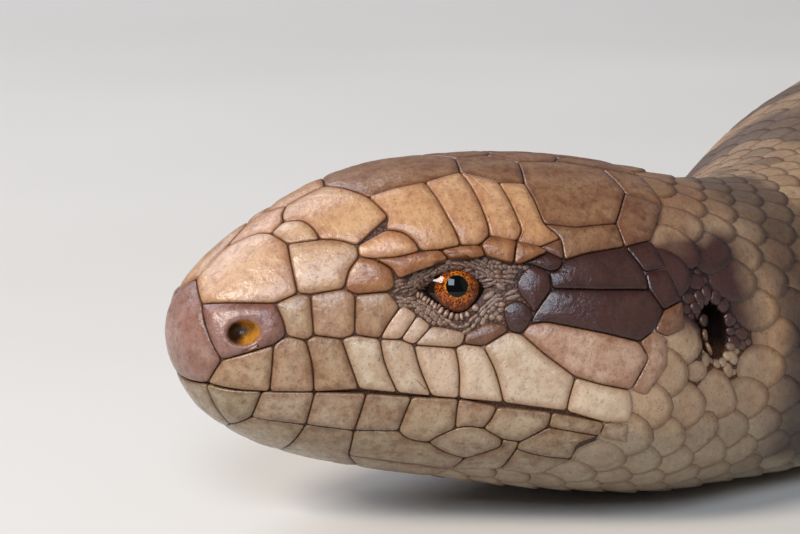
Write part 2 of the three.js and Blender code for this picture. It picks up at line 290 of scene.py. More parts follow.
class Coat:
    """Many small shapes gathered until they make one mesh. Each shape has its points in mm, the
    corners and sizes of its faces, the pigment of each point, its distance from the shape's rim
    and the place of each corner on the unwrap."""

    def __init__(self):
        self.points, self.corners, self.sizes = [], [], []
        self.colours, self.rims, self.places = [], [], []
        self.count = 0

    def add(self, points, corners, sizes, colour, rim, places):
        n = len(points)
        self.points.append(points)
        self.corners.append(np.asarray(corners) + self.count)
        self.sizes.append(np.asarray(sizes))
        self.colours.append(np.broadcast_to(colour, (n, 3)))
        self.rims.append(np.broadcast_to(rim, (n,)))
        self.places.append(places)
        self.count += n

    def to_object(self, name, material):
        if not self.points:
            raise RuntimeError(f"{name}: nothing was laid")
        points = np.concatenate(self.points)
        points[:, 2] = np.maximum(points[:, 2], 0.02)
        corners = np.concatenate(self.corners).astype(np.int32)
        sizes = np.concatenate(self.sizes).astype(np.int32)
        mesh = bpy.data.meshes.new(name)
        mesh.vertices.add(len(points))
        mesh.vertices.foreach_set("co", (points * MM).astype(np.float32).ravel())
        mesh.loops.add(len(corners))
        mesh.loops.foreach_set("vertex_index", corners)
        mesh.polygons.add(len(sizes))
        starts = np.concatenate([[0], np.cumsum(sizes)[:-1]]).astype(np.int32)
        mesh.polygons.foreach_set("loop_start", starts)
        mesh.polygons.foreach_set("loop_total", sizes)
        mesh.update(calc_edges=True)
        mesh.polygons.foreach_set("use_smooth", np.ones(len(sizes), bool))
        set_markings(mesh, np.concatenate(self.colours), np.concatenate(self.rims))
        layer = mesh.uv_layers.new(name="OFBake")
        layer.data.foreach_set("uv", np.concatenate(self.places).astype(np.float32).ravel())
        mesh.materials.append(material)
        obj = bpy.data.objects.new(name, mesh)
        bpy.context.scene.collection.objects.link(obj)
        return obj


def set_markings(mesh, colours, rims):
    """Stores the pigment of each vertex, and its distance in mm from its scale's edge."""
    rgba = np.ones((len(colours), 4), np.float32)
    rgba[:, :3] = colours
    mesh.color_attributes.new("pigment", "FLOAT_COLOR", "POINT").data.foreach_set(
        "color", rgba.ravel()
    )
    mesh.attributes.new("rim", "FLOAT", "POINT").data.foreach_set(
        "value", np.asarray(rims, np.float32)
    )


def settle(obj, replaced=()):
    """Hands a finished piece to the frame."""
    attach(obj, "root")
    if replaced:
        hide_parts(*replaced)


# Materials


def add_node(tree, kind, links=(), **settings):
    """Adds a shader node, sets it and its inputs, and links its inputs to other sockets."""
    node = tree.nodes.new(kind)
    for key, value in settings.items():
        if hasattr(node, key):
            setattr(node, key, value)
        else:
            node.inputs[key.replace("_", " ")].default_value = value
    for name, source in links:
        tree.links.new(source, node.inputs[name])
    return node


def new_material(name):
    material = bpy.data.materials.new(name)
    material.use_nodes = True
    tree = material.node_tree
    tree.nodes.clear()
    shader = tree.nodes.new("ShaderNodeBsdfPrincipled")
    output = tree.nodes.new("ShaderNodeOutputMaterial")
    tree.links.new(shader.outputs["BSDF"], output.inputs["Surface"])
    return material, tree, shader


def noise(tree, size_mm, detail=2.0, rough=0.5):
    """Cloudy noise on object coordinates whose features are size_mm across."""
    place = add_node(tree, "ShaderNodeTexCoord")
    return add_node(
        tree, "ShaderNodeTexNoise", links=[("Vector", place.outputs["Object"])],
        Scale=1 / (size_mm * MM), Detail=detail, Roughness=rough,
    ).outputs["Fac"]


def cells(tree, size_mm):
    """Distance to the middles of cells size_mm across, on object coordinates."""
    place = add_node(tree, "ShaderNodeTexCoord")
    return add_node(
        tree, "ShaderNodeTexVoronoi", links=[("Vector", place.outputs["Object"])],
        Scale=1 / (size_mm * MM),
    ).outputs["Distance"]


def ramp(tree, source, stops):
    node = add_node(tree, "ShaderNodeValToRGB", links=[("Fac", source)])
    elements = node.color_ramp.elements
    while len(elements) < len(stops):
        elements.new(0.5)
    for element, (at, value) in zip(elements, stops):
        element.position = at
        colour = value if isinstance(value, tuple) else (value, value, value)
        element.color = (*colour, 1)
    return node.outputs["Color"]


def mix(tree, factor, a, b, blend="MIX"):
    """Mixes two colours; each of the three may be a value or a socket."""
    node = tree.nodes.new("ShaderNodeMix")
    node.data_type = "RGBA"
    node.blend_type = blend
    for socket, value in (("Factor", factor), ("A", a), ("B", b)):
        found = [s for s in node.inputs if s.name == socket and s.enabled][0]
        if isinstance(value, bpy.types.NodeSocket):
            tree.links.new(value, found)
        elif socket == "Factor":
            found.default_value = value
        else:
            found.default_value = (*value, 1)
    return [s for s in node.outputs if s.enabled][0]


def bump(tree, shader, layers):
    """Stacks bumps under the shader's normal: each a height, its depth in mm, and whether a
    high value is a hollow."""
    normal = None
    for height, depth_mm, hollow in layers:
        links = [("Height", height)] + ([("Normal", normal)] if normal else [])
        node = add_node(
            tree, "ShaderNodeBump", links=links, invert=hollow, Distance=depth_mm * MM
        )
        normal = node.outputs["Normal"]
    tree.links.new(normal, shader.inputs["Normal"])


def attribute(tree, name, output="Fac"):
    return add_node(tree, "ShaderNodeAttribute", attribute_name=name).outputs[output]


def keratin_scales(name, stain, gloss):
    """Skink scale: a plate of bone under smooth, hard keratin. It is satin-glossy, stained in
    blotches, pitted with dirt, browner towards its edge and dark in its seams."""
    material, tree, shader = new_material(name)
    rim = attribute(tree, "rim")
    pigment = attribute(tree, "pigment", "Color")
    paleness = add_node(tree, "ShaderNodeRGBToBW", links=[("Color", pigment)]).outputs[0]
    share = ramp(tree, paleness, [(0.24, stain), (0.42, stain * 0.45)])
    smudge = noise(tree, 1.1, 5, 0.7)
    cloud = mix(tree, share, (0, 0, 0), ramp(tree, noise(tree, 3.4, 3, 0.6), [(0.38, 0), (0.66, 1)]))
    mottle = mix(tree, share, (0, 0, 0), ramp(tree, smudge, [(0.46, 0.0), (0.68, 1.0)]))
    colour = mix(tree, cloud, pigment, linear("#cda47c"), "MULTIPLY")
    colour = mix(tree, mottle, colour, linear("#a2764f"), "MULTIPLY")
    edge = ramp(tree, rim, [(0.05, 0.7), (0.9, 0.0)])
    colour = mix(tree, edge, colour, linear("#b89670"), "MULTIPLY")
    dirt = ramp(tree, noise(tree, 0.3, 4, 0.6), [(0.57, 0.0), (0.68, 0.5)])
    colour = mix(tree, dirt, colour, linear("#7d5636"), "MULTIPLY")
    colour = mix(tree, ramp(tree, rim, [(0.0, 0.75), (0.05, 0.0)]), colour, linear("#4d3220"))
    tree.links.new(colour, shader.inputs["Base Color"])
    rough = ramp(tree, smudge, [(0.3, gloss - 0.05), (0.75, gloss + 0.12)])
    tree.links.new(rough, shader.inputs["Roughness"])
    shader.inputs["IOR"].default_value = 1.55
    bump(tree, shader, [
        (noise(tree, 0.15, 3, 0.6), 0.02, False),
        (noise(tree, 0.7, 3, 0.55), 0.10, False),
        (dirt, 0.02, True),
    ])
    return material


def soft_skin():
    """Thin skin between scales: soft, finely grained and darker than they are."""
    material, tree, shader = new_material("grained soft skin")
    grain = cells(tree, 0.32)
    colour = mix(tree, 1.0, attribute(tree, "pigment", "Color"), linear("#8f6a50"), "MULTIPLY")
    colour = mix(tree, ramp(tree, grain, [(0.25, 0.0), (0.8, 0.75)]), colour, linear("#1a100b"))
    tree.links.new(colour, shader.inputs["Base Color"])
    shader.inputs["Roughness"].default_value = 0.55
    shader.inputs["IOR"].default_value = 1.45
    bump(tree, shader, [(grain, 0.1, True)])
    return material


def lid_grain():
    """Granular skin of the eyelids: tiny hard beads with dirt and shadow between them."""
    material, tree, shader = new_material("granular eyelid keratin")
    rim = attribute(tree, "rim")
    colour = mix(tree, ramp(tree, noise(tree, 0.25, 3, 0.6), [(0.4, 0.0), (0.65, 0.8)]),
                 attribute(tree, "pigment", "Color"), linear("#a07c5f"), "MULTIPLY")
    colour = mix(tree, ramp(tree, rim, [(0.02, 0.55), (0.3, 0.0)]), colour, linear("#3a271d"))
    tree.links.new(colour, shader.inputs["Base Color"])
    shader.inputs["Roughness"].default_value = 0.38
    shader.inputs["IOR"].default_value = 1.5
    bump(tree, shader, [(noise(tree, 0.12, 3, 0.6), 0.03, False)])
    return material


def wet_eye():
    """Live eye: a clear wet cornea over an orange-brown iris freckled with dark pigment.
    The iris and pupil are painted by their distance in mm over the ball."""
    material, tree, shader = new_material("wet eye")
    ring = add_node(tree, "ShaderNodeMath", operation="DIVIDE",
                    links=[(0, attribute(tree, "reach"))])
    ring.inputs[1].default_value = IRIS_RADIUS * 2
    hole = add_node(tree, "ShaderNodeMath", operation="DIVIDE",
                    links=[(0, attribute(tree, "pupil"))])
    hole.inputs[1].default_value = PUPIL_RADIUS * 2
    ring, hole = ring.outputs[0], hole.outputs[0]
    freckle = ramp(tree, noise(tree, 0.2, 4, 0.8), [(0.45, 0.0), (0.54, 0.96)])
    cloud = ramp(tree, noise(tree, 0.75, 2, 0.6), [(0.38, 0.0), (0.62, 1.0)])
    amber = mix(tree, cloud, linear("#7a330a"), linear("#cc6a12"))
    glow = ramp(tree, hole, [(0.5, 0.55), (0.62, 0.0)])
    amber = mix(tree, glow, amber, linear("#d88a2a"))
    iris = mix(tree, freckle, amber, linear("#2a1004"))
    shade = ramp(tree, ring, [(0.34, 0.0), (0.5, 0.75)])
    iris = mix(tree, shade, iris, linear("#3a1707"))
    colour = mix(tree, ramp(tree, ring, [(0.485, 0.0), (0.515, 1.0)]), iris, linear("#150a06"))
    colour = mix(tree, ramp(tree, hole, [(0.485, 1.0), (0.515, 0.0)]), colour, linear("#010101"))
    tree.links.new(colour, shader.inputs["Base Color"])
    shader.inputs["Roughness"].default_value = 0.03
    shader.inputs["IOR"].default_value = 1.37
    return material


def claw_horn():
    """Claw: dense dark horn, worn paler in streaks."""
    material, tree, shader = new_material("dark claw horn")
    streak = noise(tree, 0.6, 3, 0.6)
    colour = ramp(tree, streak, [(0.35, linear("#2a1c14")), (0.7, linear("#6b5140"))])
    tree.links.new(colour, shader.inputs["Base Color"])
    shader.inputs["Roughness"].default_value = 0.3
    shader.inputs["IOR"].default_value = 1.55
    bump(tree, shader, [(streak, 0.03, False)])
    return material


def matt_board():
    """Studio floor: matt painted board, pale and even."""
    material, tree, shader = new_material("pale painted board")
    cloud = noise(tree, 180.0)
    colour = ramp(tree, cloud, [(0.3, linear("#c9c4bc")), (0.7, linear("#d1ccc4"))])
    tree.links.new(colour, shader.inputs["Base Color"])
    shader.inputs["Roughness"].default_value = 0.8
    return material


# Pigment of the whole animal

# Where the dark bands of the trunk and the tail have their middles, in mm from the snout
TRUNK_BANDS = (67, 98, 126, 154, 183, 212, 240, 268)
TAIL_BANDS = (298, 320, 342, 363, 383, 402, 420, 436, 449, 459)


def blended(*shares_and_tones):
    """Lays tones over the first one, each by its share at each point."""
    colour = None
    for share, tone in shares_and_tones:
        tone = np.asarray(tone, float)
        colour = tone if colour is None else colour + (tone - colour) * share[..., None]
    return colour


def body_pigment(colours, at, share, luck):
    """Colour of the hide at a distance along the spine and a share of the girth from the middle
    of the back (0) to the middle of the belly (0.5), with a luck of -1 to 1 for each scale."""
    at, share, luck = np.broadcast_arrays(at, share, luck)
    flank = smooth((share - 0.10) / 0.12)
    belly = smooth((share + 0.015 * luck - 0.345) / 0.05)
    wobble = 2.4 * np.sin(share * 26 + at * 0.09) + 1.8 * luck
    dark = np.zeros(at.shape)
    for middle in TRUNK_BANDS:
        dark = np.maximum(dark, smooth((8.0 - np.abs(at + wobble - middle)) / 2.6))
    for middle in TAIL_BANDS:
        dark = np.maximum(dark, smooth((6.0 - np.abs(at + wobble * 0.7 - middle)) / 2.2))
    dark = dark * (0.7 + 0.3 * flank)
    dark = np.maximum(dark, smooth((luck - 0.78) / 0.1) * 0.5 * (1 - belly))
    pale = np.asarray(colours.belly) * (1 - 0.3 * dark[..., None])
    ground = np.ones((*at.shape, 1)) * np.asarray(colours.back)
    hide = blended(
        (None, ground), (flank, colours.flank), (dark, colours.band), (belly, pale)
    )
    return hide * (1 + 0.12 * luck[..., None])


def head_pigment(colours, head, luck):
    """Colour of the hide on the head behind its shields, from places in the head's frame."""
    back, out, up = head[:, 0], np.abs(head[:, 1]), head[:, 2]
    # The crown's pigment on the top of the head is partly painted shade.
    crown = smooth((up - 12.5 - 0.02 * back) / 2.5)
    # The chin's pigment on the underside of the head is partly painted shade.
    lower = smooth((-1.2 - 0.06 * back - up) / 2.0)
    top = 14.6 - 0.03 * (back - 40)
    bottom = 7.4 - 0.24 * (back - 40) - 1.8 * smooth((back - 49) / 6)
    stripe = smooth((back - 30) / 3) * smooth((63 - back) / 5)
    stripe = stripe * smooth((up - bottom) / 1.4) * smooth((top - up) / 1.4)
    cheek = np.ones((len(head), 1)) * np.asarray(colours.cheek)
    hide = blended(
        (None, cheek), (crown, colours.crown), (lower, colours.chin), (stripe, colours.stripe)
    )
    return hide * (1 + 0.08 * np.asarray(luck)[:, None])


def colour_setting(name, description, hex_colour):
    return FloatVectorProperty(
        name=name, description=description, subtype="COLOR", default=linear(hex_colour)
    )


class SkinkColours(PropertyGroup):
    """Pigments of the hide"""

    # The crown's pigment is its own brown, darkened further as painted shade on the top of the head.
    crown: colour_setting("Crown", "Middle shields on top of the head", "#8a6648")
    brow: colour_setting("Brow", "Shields over and in front of the eye", "#b98f68")
    ridge: colour_setting("Ridge", "Narrow shields along the upper eyelid", "#9c7048")
    snout: colour_setting("Snout", "Large pale shields of the snout", "#b49372")
    nose: colour_setting("Nose", "Front of the snout round the nostrils", "#8a675c")
    cheek: colour_setting("Cheek", "Shields between nostril and eye", "#a3876a")
    lip: colour_setting("Upper lip", "Shields of the upper lip and below the eye", "#bca68e")
    temple: colour_setting("Temple", "Pale shields behind the corner of the mouth", "#a98b74")
    corner: colour_setting("Corner", "Brown shields at the stripe's ends", "#7d5a42")
    stripe: colour_setting("Stripe", "Dark stripe behind the eye", "#43251d")
    # The lower lip's and chin's pigments are their own tones, darkened further as painted shade on the
    # underside of the head.
    jaw: colour_setting("Lower lip", "Shields of the lower lip", "#9c8870")
    chin: colour_setting("Chin", "Shields and scales of chin and throat", "#96856d")
    lid: colour_setting("Eyelid", "Grains of the lower eyelid", "#846a57")
    fold: colour_setting("Upper eyelid", "Grains of the upper eyelid", "#6f5442")
    rim: colour_setting("Upper lid's rim", "Rounded edge of the upper eyelid", "#5d4334")
    margin: colour_setting("Lid margin", "Beads on the edges of the eyelids", "#a88b76")
    back: colour_setting("Back", "Ground colour of the back", "#957a5c")
    flank: colour_setting("Flank", "Ground colour of the flanks", "#ad8357")
    band: colour_setting("Bands", "Dark bands across back and tail", "#3d2c24")
    belly: colour_setting("Belly", "Underside", "#d6c6a6")
    leg: colour_setting("Legs", "Upper side of the legs", "#5a4436")


class SkinkCoat(PropertyGroup):
    """Sizes of the skin and its scales"""

    depth: FloatProperty(
        name="Coat depth", description="From the solids' surface down to the skin",
        default=0.6 * MM, unit="LENGTH",
    )
    grain: FloatProperty(
        name="Skin grain", description="Side of the skin's faces before the head is refined",
        default=1.12 * MM, unit="LENGTH",
    )
    columns: IntProperty(
        name="Midbody columns", description="Lengthwise columns of scales round the body",
        default=36,
    )
    seam: FloatProperty(
        name="Seam", description="Gap between two head shields",
        default=0.04 * MM, unit="LENGTH",
    )


# The skin

JOINING_SWELL = 0.25  # closes the narrow gaps between the solids before they become one
HEAD_BACK = 66.0  # the head is refined to here


def remeshed(nodes, name, grain, coat, smoothing):
    """One closed, smooth skin round the solids, lying inside them by the coat's depth, which is
    less on the head and least on the feet."""
    obj = joined_copy(nodes, name)
    apply_modifier(obj, "DISPLACE", strength=JOINING_SWELL * MM, mid_level=0.0)
    apply_modifier(obj, "REMESH", mode="VOXEL", voxel_size=grain)
    edit(obj)
    bpy.ops.mesh.select_all(action="SELECT")
    bpy.ops.mesh.vertices_smooth(factor=0.5, repeat=2)
    bpy.ops.object.mode_set(mode="OBJECT")
    at, out = to_spine(points_of(obj))
    beyond = np.abs(out) - half_width(at)
    select_vertices(obj, (at > 56) & (beyond < 2.5))
    edit(obj)
    bpy.ops.mesh.vertices_smooth(factor=0.5, repeat=smoothing)
    bpy.ops.object.mode_set(mode="OBJECT")
    points = points_of(obj)
    normals = np.empty(len(points) * 3, np.float32)
    obj.data.vertex_normals.foreach_get("vector", normals)
    depth = coat / MM * (1 - 0.35 * smooth((62 - at) / 8) - 0.55 * smooth((beyond - 6) / 14))
    shrink = (depth + JOINING_SWELL)[:, None]
    set_points(obj, points - normals.reshape(-1, 3) * shrink)
    return obj


def eye_frame():
    """Axes of the left eye in the head's frame: its gaze, backwards and upwards."""
    gaze = unit(np.subtract(PUPIL_PLACE, EYE_CENTRE))
    back = unit(np.array([1.0, 0, 0]) - gaze[0] * gaze)
    upwards = np.cross(back, gaze)
    if upwards[2] < 0:
        upwards = -upwards
    return gaze, back, upwards


# The opening between the lids, in mm over the eyeball from the pupil, backwards and upwards:
# its front and rear corners, and how its edges bow out from the line between them
LID_FRONT = (-4.0, -0.1)
LID_REAR = (3.35, -0.5)
UPPER_BOW, UPPER_FULLNESS = 2.2, 0.55
LOWER_BOW, LOWER_FULLNESS = 2.55, 0.95
LID_THICKNESS = 0.42
SOCKET_DEPTH = 1.2


def over_eye(q):
    """Places over the eyeball, in mm backwards and upwards from the pupil."""
    gaze, back, upwards = eye_frame()
    ahead = q @ gaze
    across = np.arctan2(q @ back, ahead) * EYE_RADIUS
    high = np.arctan2(q @ upwards, ahead) * EYE_RADIUS
    return across, high, ahead


def on_eye(across, high):
    """Directions from the eye's centre, in the head's frame, of places over the eyeball."""
    gaze, back, upwards = eye_frame()
    across, high = np.tan(across / EYE_RADIUS), np.tan(high / EYE_RADIUS)
    return unit(gaze + across[:, None] * back + high[:, None] * upwards)


def lid_gap(across, high):
    """Distance in mm inside the opening between the lids; negative outside it."""
    t = (across - LID_FRONT[0]) / (LID_REAR[0] - LID_FRONT[0])
    line = LID_FRONT[1] + (LID_REAR[1] - LID_FRONT[1]) * t
    k = np.clip(1 - (2 * t - 1) ** 2, 0, 1)
    upper = line + UPPER_BOW * k ** UPPER_FULLNESS - high
    lower = high - line + LOWER_BOW * k ** LOWER_FULLNESS
    beyond = np.maximum(LID_FRONT[0] - across, across - LID_REAR[0])
    off = np.hypot(np.maximum(beyond, 0), high - line)
    return np.where(beyond > 0, -off, np.minimum(upper, lower))


def lip_line(back):
    """Height of the closed mouth at a distance back from the snout."""
    return -0.1 - 3.75 * (np.clip(back, 0, 44) / 40.0) ** 2.6


MOUTH_END = 42.5
NOSTRIL_INWARD = unit([0.35, -0.93, -0.1])


def shape_eyes(p):
    """Lifts the lids over the eyeballs and sinks the skin between them, on the left side."""
    q = p - np.array(EYE_CENTRE)
    r = np.linalg.norm(q, axis=1)
    across, high, ahead = over_eye(q)
    gap = lid_gap(across, high)
    near = (r < EYE_RADIUS + 5) & (ahead > 0)
    lid = EYE_RADIUS + LID_THICKNESS + 0.12 * smooth((-gap - 0.2) / 1.0)
    raised = np.maximum(r, r + (lid - r) * smooth((5.0 + gap) / 2.5))
    wanted = raised + (EYE_RADIUS - SOCKET_DEPTH - raised) * smooth((gap + 0.12) / 0.24)
    return np.where(near[:, None], np.array(EYE_CENTRE) + q * (wanted / r)[:, None], p)


def shape_pits(p):
    """Sinks the nostrils, ears and lip line into the skin, on the left side."""
    off = p - np.array(NOSTRIL_PLACE)
    flat = off - (off @ NOSTRIL_INWARD)[:, None] * NOSTRIL_INWARD
    sink = 3.4 * smooth((2.6 - np.linalg.norm(flat, axis=1)) / 0.9)
    p = p + np.where(np.linalg.norm(off, axis=1) < 4, sink, 0)[:, None] * NOSTRIL_INWARD
    round_ear = np.hypot(
        (p[:, 0] - EAR_PLACE[0]) / EAR_HALF[0], (p[:, 2] - EAR_PLACE[2]) / EAR_HALF[1]
    )
    p[:, 1] -= 2.6 * smooth((1.1 - round_ear) / 0.3) * (p[:, 1] > 8)
    lips = np.abs(p[:, 2] - lip_line(p[:, 0]))
    groove = 0.4 * smooth((0.7 - lips) / 0.6) * smooth((MOUTH_END - p[:, 0]) / 2)
    outward = unit(np.stack([p[:, 0] - 22, p[:, 1], np.zeros(len(p))], 1))
    return p - (groove * (p[:, 1] > 0))[:, None] * outward


def on_both_sides(shape, points):
    """Runs a shaping function of the left side on both sides of the head."""
    head = world_to_head(points)
    side = np.where(head[:, 1] < 0, -1.0, 1.0)
    head[:, 1] *= side
    head = shape(head)
    head[:, 1] *= side
    return head_to_world(head)


def on_head(points, reach):
    at, out = to_spine(points)
    return (at < reach) & (np.abs(out) < 30)


class SKINK_OT_skin(Operator):
    """Lays one seamless skin inside the solids of the flesh"""

    bl_idname = "skink.skin"
    bl_label = "Skin"

    def execute(self, context):
        coat = context.scene.skink_coat
        colours = context.scene.skink_colours
        skin = remeshed(FLESH + LIMB_FLESH + EYES, "skin", coat.grain, coat.depth, 16)
        form = skin.copy()
        form.data = skin.data.copy()
        form.name = "head_form"
        bpy.context.scene.collection.objects.link(form)
        select_vertices(form, ~on_head(points_of(form), HEAD_BACK))
        select_only(form)
        edit(form)
        bpy.ops.mesh.delete(type="VERT")
        bpy.ops.object.mode_set(mode="OBJECT")
        apply_modifier(form, "SUBSURF", levels=2, render_levels=2)
        set_points(form, on_both_sides(shape_eyes, points_of(form)))
        remeshed(FLESH + EYES, "body_form", coat.grain, coat.depth, 16)

        select_vertices(skin, on_head(points_of(skin), HEAD_BACK - 6))
        select_only(skin)
        edit(skin)
        bpy.ops.mesh.subdivide(number_cuts=1, smoothness=0.0)
        bpy.ops.mesh.vertices_smooth(factor=0.5, repeat=2)
        bpy.ops.object.mode_set(mode="OBJECT")
        head = np.abs(world_to_head(points_of(skin)) * [1, 1, 0] + [0, 0, 0])
        head[:, 2] = world_to_head(points_of(skin))[:, 2]
        select_vertices(skin, np.linalg.norm(head - np.array(EYE_CENTRE), axis=1) < 7.5)
        edit(skin)
        bpy.ops.mesh.subdivide(number_cuts=1, smoothness=0.0)
        bpy.ops.object.mode_set(mode="OBJECT")
        points = points_of(skin)
        shaped = on_both_sides(lambda p: shape_pits(shape_eyes(p)), points)
        points = np.where(on_head(points, 62)[:, None], shaped, points)
        points[:, 2] = np.maximum(points[:, 2], 0.1)
        set_points(skin, points)
        skin.data.polygons.foreach_set("use_smooth", np.ones(len(skin.data.polygons), bool))
        set_markings(skin.data, skin_pigment(colours, points), np.full(len(points), 1.0))
        skin.data.materials.append(soft_skin())
        settle(skin, FLESH + LIMB_FLESH + EARDRUMS)
        return {"FINISHED"}


def skin_pigment(colours, points):
    """Pigment of the skin, which carries the markings of the scales over it."""
    at, out = to_spine(points)
    top = np.interp(at, (0, 60, 175, 286, 462), (22, 35, 41, 27, 2))
    share = np.clip(0.5 - 0.5 * points[:, 2] / top, 0, 0.5)
    luck = np.zeros(len(points))
    body = body_pigment(colours, at, share, luck)
    leg = smooth((np.abs(out) - half_width(at) - 1) / 4) * smooth((at - 70) / 10)
    front = smooth((62 - at) / 6) * (np.abs(out) < 30)
    head = head_pigment(colours, world_to_head(points), luck)
    q = world_to_head(points)
    q[:, 1] = np.abs(q[:, 1])
    lid = smooth((EYE_RADIUS + 3.5 - np.linalg.norm(q - np.array(EYE_CENTRE), axis=1)) / 1.5)
    return blended((None, body), (leg, colours.leg), (front, head), (lid, colours.lid))


def surface_of(name):
    if name not in bpy.data.objects:
        raise RuntimeError(f"{name} isn't there; the skin comes first")
    return Surface(bpy.data.objects[name])


# The head's shields

# Places where the seams of the head shields meet on the left side, in mm. From the front: out
# and up. From above or below: back and out. From the side: back and up.

FRONT = {
    "r0": (0.0, 0.1), "r1": (3.6, 8.4), "r2": (4.8, 7.0), "r3": (6.2, 4.7), "r4": (5.0, 0.5),
    "j0": (0.0, -0.15), "j1": (4.6, 0.25),
}
TOP = {
    "k0": (3.2, 0.0), "k1": (6.7, 0.0), "k2": (9.3, 1.7), "k3": (10.3, 3.3), "k4": (11.2, 5.8),
    "k5": (12.3, 1.5), "k6": (13.4, 0.0), "k7": (11.9, 2.9), "k8": (13.4, 4.2),
    "k9": (14.0, 6.0), "k10": (14.2, 7.5), "k11": (15.7, 8.4), "k12": (17.4, 9.9),
    "k13": (21.1, 9.5), "k14": (20.2, 6.2), "k15": (26.4, 6.8), "k16": (17.8, 0.0),
    "k17": (31.0, 5.8), "k18": (33.0, 0.0), "k20": (34.2, 8.6), "k21": (37.0, 9.2),
    "k22": (39.0, 3.4), "k23": (36.8, 0.0), "k24": (43.6, 3.0), "k25": (45.6, 0.0),
    "k26": (36.8, 14.4), "k27": (40.3, 15.2), "k28": (45.0, 15.0), "k29": (48.4, 10.5),
    "k30": (48.6, 4.6), "k31": (53.2, 5.2), "k32": (52.6, 0.0), "k33": (52.5, 11.5),
    "s1": (18.9, 10.2), "s2": (20.4, 10.4), "s3": (22.0, 11.3), "s4": (22.9, 12.2),
    "s7": (26.8, 11.9), "s8": (27.3, 13.1), "s13": (30.8, 13.4), "s14": (34.2, 14.5),
}
SIDE = {
    "n2": (5.4, 8.9), "n3": (8.6, 9.0), "n4": (9.2, 7.2), "n5": (9.3, 5.8), "n6": (8.0, 4.9),
    "n7": (6.2, 4.3), "n8": (3.3, 3.2),
    "c1": (10.9, 10.0), "c2": (10.9, 12.9), "c3": (12.1, 9.9), "c4": (15.4, 10.5),
    "c5": (16.1, 12.3), "c6": (17.3, 13.6), "c7": (18.6, 13.4), "c8": (20.2, 12.5),
    "c9": (20.4, 10.8),
    "l1": (16.4, 9.9), "l2": (19.6, 10.2), "l3": (20.6, 8.6), "l4": (19.3, 7.0),
    "l5": (18.4, 5.4), "l6": (16.0, 5.8), "l7": (12.0, 5.8), "l8": (11.2, 5.3),
    "l9": (14.7, 5.4),
    "b1": (20.9, 13.5), "b2": (23.3, 14.1), "b3": (25.3, 14.2), "b4": (26.0, 13.1),
    "b5": (23.0, 12.3), "b6": (20.7, 11.4), "b7": (27.5, 14.5), "b8": (29.4, 14.5),
    "b9": (29.8, 13.4), "b10": (30.6, 15.3), "b11": (33.3, 14.7), "b12": (32.9, 13.9),
    "b13": (32.5, 12.6), "b14": (35.5, 14.1), "b15": (33.4, 12.6), "b16": (27.9, 13.2),
    "o1": (21.1, 8.7), "o2": (22.3, 7.8), "o3": (20.4, 5.3), "o4": (21.7, 4.7),
    "o5": (23.6, 6.6), "o6": (25.4, 6.3), "o7": (27.0, 5.8), "o8": (26.6, 4.7),
    "o9": (25.8, 4.3), "o10": (28.6, 4.4), "o11": (29.5, 6.9), "o12": (31.0, 6.6),
    "o13": (31.2, 5.9), "o14": (32.5, 5.6),
    "p1": (36.3, 13.6), "p2": (37.8, 12.8), "p3": (37.0, 11.9), "p4": (36.0, 11.8),
    "p5": (34.3, 12.6), "p6": (33.1, 11.6), "p7": (32.4, 10.5), "p8": (32.8, 9.4),
    "p9": (33.4, 8.7), "p10": (33.9, 7.6), "p11": (36.0, 10.1), "p12": (33.4, 6.6),
    "p13": (30.9, 7.3), "p14": (30.9, 8.3), "p15": (32.3, 9.2),
    "t1": (35.0, 6.8), "t2": (40.8, 5.5), "t3": (44.5, 4.4), "t4": (45.4, 2.7),
    "t5": (43.2, -0.5), "t6": (39.9, 0.3), "t7": (37.5, 1.1), "t8": (34.6, 3.5),
    "t9": (40.9, 9.8), "t10": (46.5, 9.4), "t11": (47.8, 7.3), "t12": (46.3, 5.4),
    "t13": (40.2, 13.3), "t14": (45.0, 13.6), "t15": (46.5, 11.1), "t16": (38.1, 14.8),
    "t17": (48.5, 13.9), "t18": (49.4, 11.2), "t19": (50.4, 8.0), "t20": (50.2, 5.1),
    "t21": (47.7, 4.6), "t22": (47.5, 1.7), "t23": (44.9, -1.2), "t24": (43.5, -2.5),
    "u1": (7.8, 2.4), "u2": (11.8, 2.6), "u3": (15.4, 2.9), "u4": (18.7, 2.8),
    "u5": (22.0, 2.7), "u6": (26.1, 2.0), "u7": (29.7, 1.8), "u8": (36.9, -0.8),
    "m1": (7.7, -0.1), "m2": (11.9, -0.15), "m3": (16.3, 0.1), "m4": (20.0, -0.3),
    "m5": (23.3, -0.7), "m6": (26.0, -1.0), "m7": (30.4, -1.5), "m8": (36.6, -2.5),
    "m9": (40.5, -3.8), "m10": (43.1, -4.0),
    "i1": (17.0, -0.35), "i2": (21.4, -0.75), "i3": (20.7, -3.0), "i4": (20.5, -4.6),
    "i5": (25.8, -2.2), "i6": (25.9, -4.3), "i7": (24.3, -5.3), "i8": (23.7, -6.0),
    "i9": (21.7, -5.7), "i10": (29.8, -1.9), "i11": (29.2, -3.4), "i12": (28.6, -4.3),
    "i13": (27.0, -4.0), "i14": (35.2, -2.6), "i15": (34.9, -4.2), "i16": (32.4, -5.9),
    "i17": (30.7, -5.6), "i18": (40.1, -5.3), "i19": (16.3, -4.6), "i20": (12.0, -0.15),
    "i21": (11.6, -3.9), "i22": (7.0, -0.1), "i23": (6.6, -3.2), "i24": (43.4, -6.4),
    "h1": (25.8, -7.4), "h2": (27.9, -8.1), "h3": (30.8, -6.5), "h4": (38.1, -6.2),
    "h5": (38.0, -8.1), "h6": (34.9, -7.7), "h7": (22.6, -9.0), "h8": (27.5, -9.9),
    "h9": (32.3, -6.8), "h10": (32.0, -9.7), "h11": (17.0, -8.0), "h12": (36.0, -10.6),
}
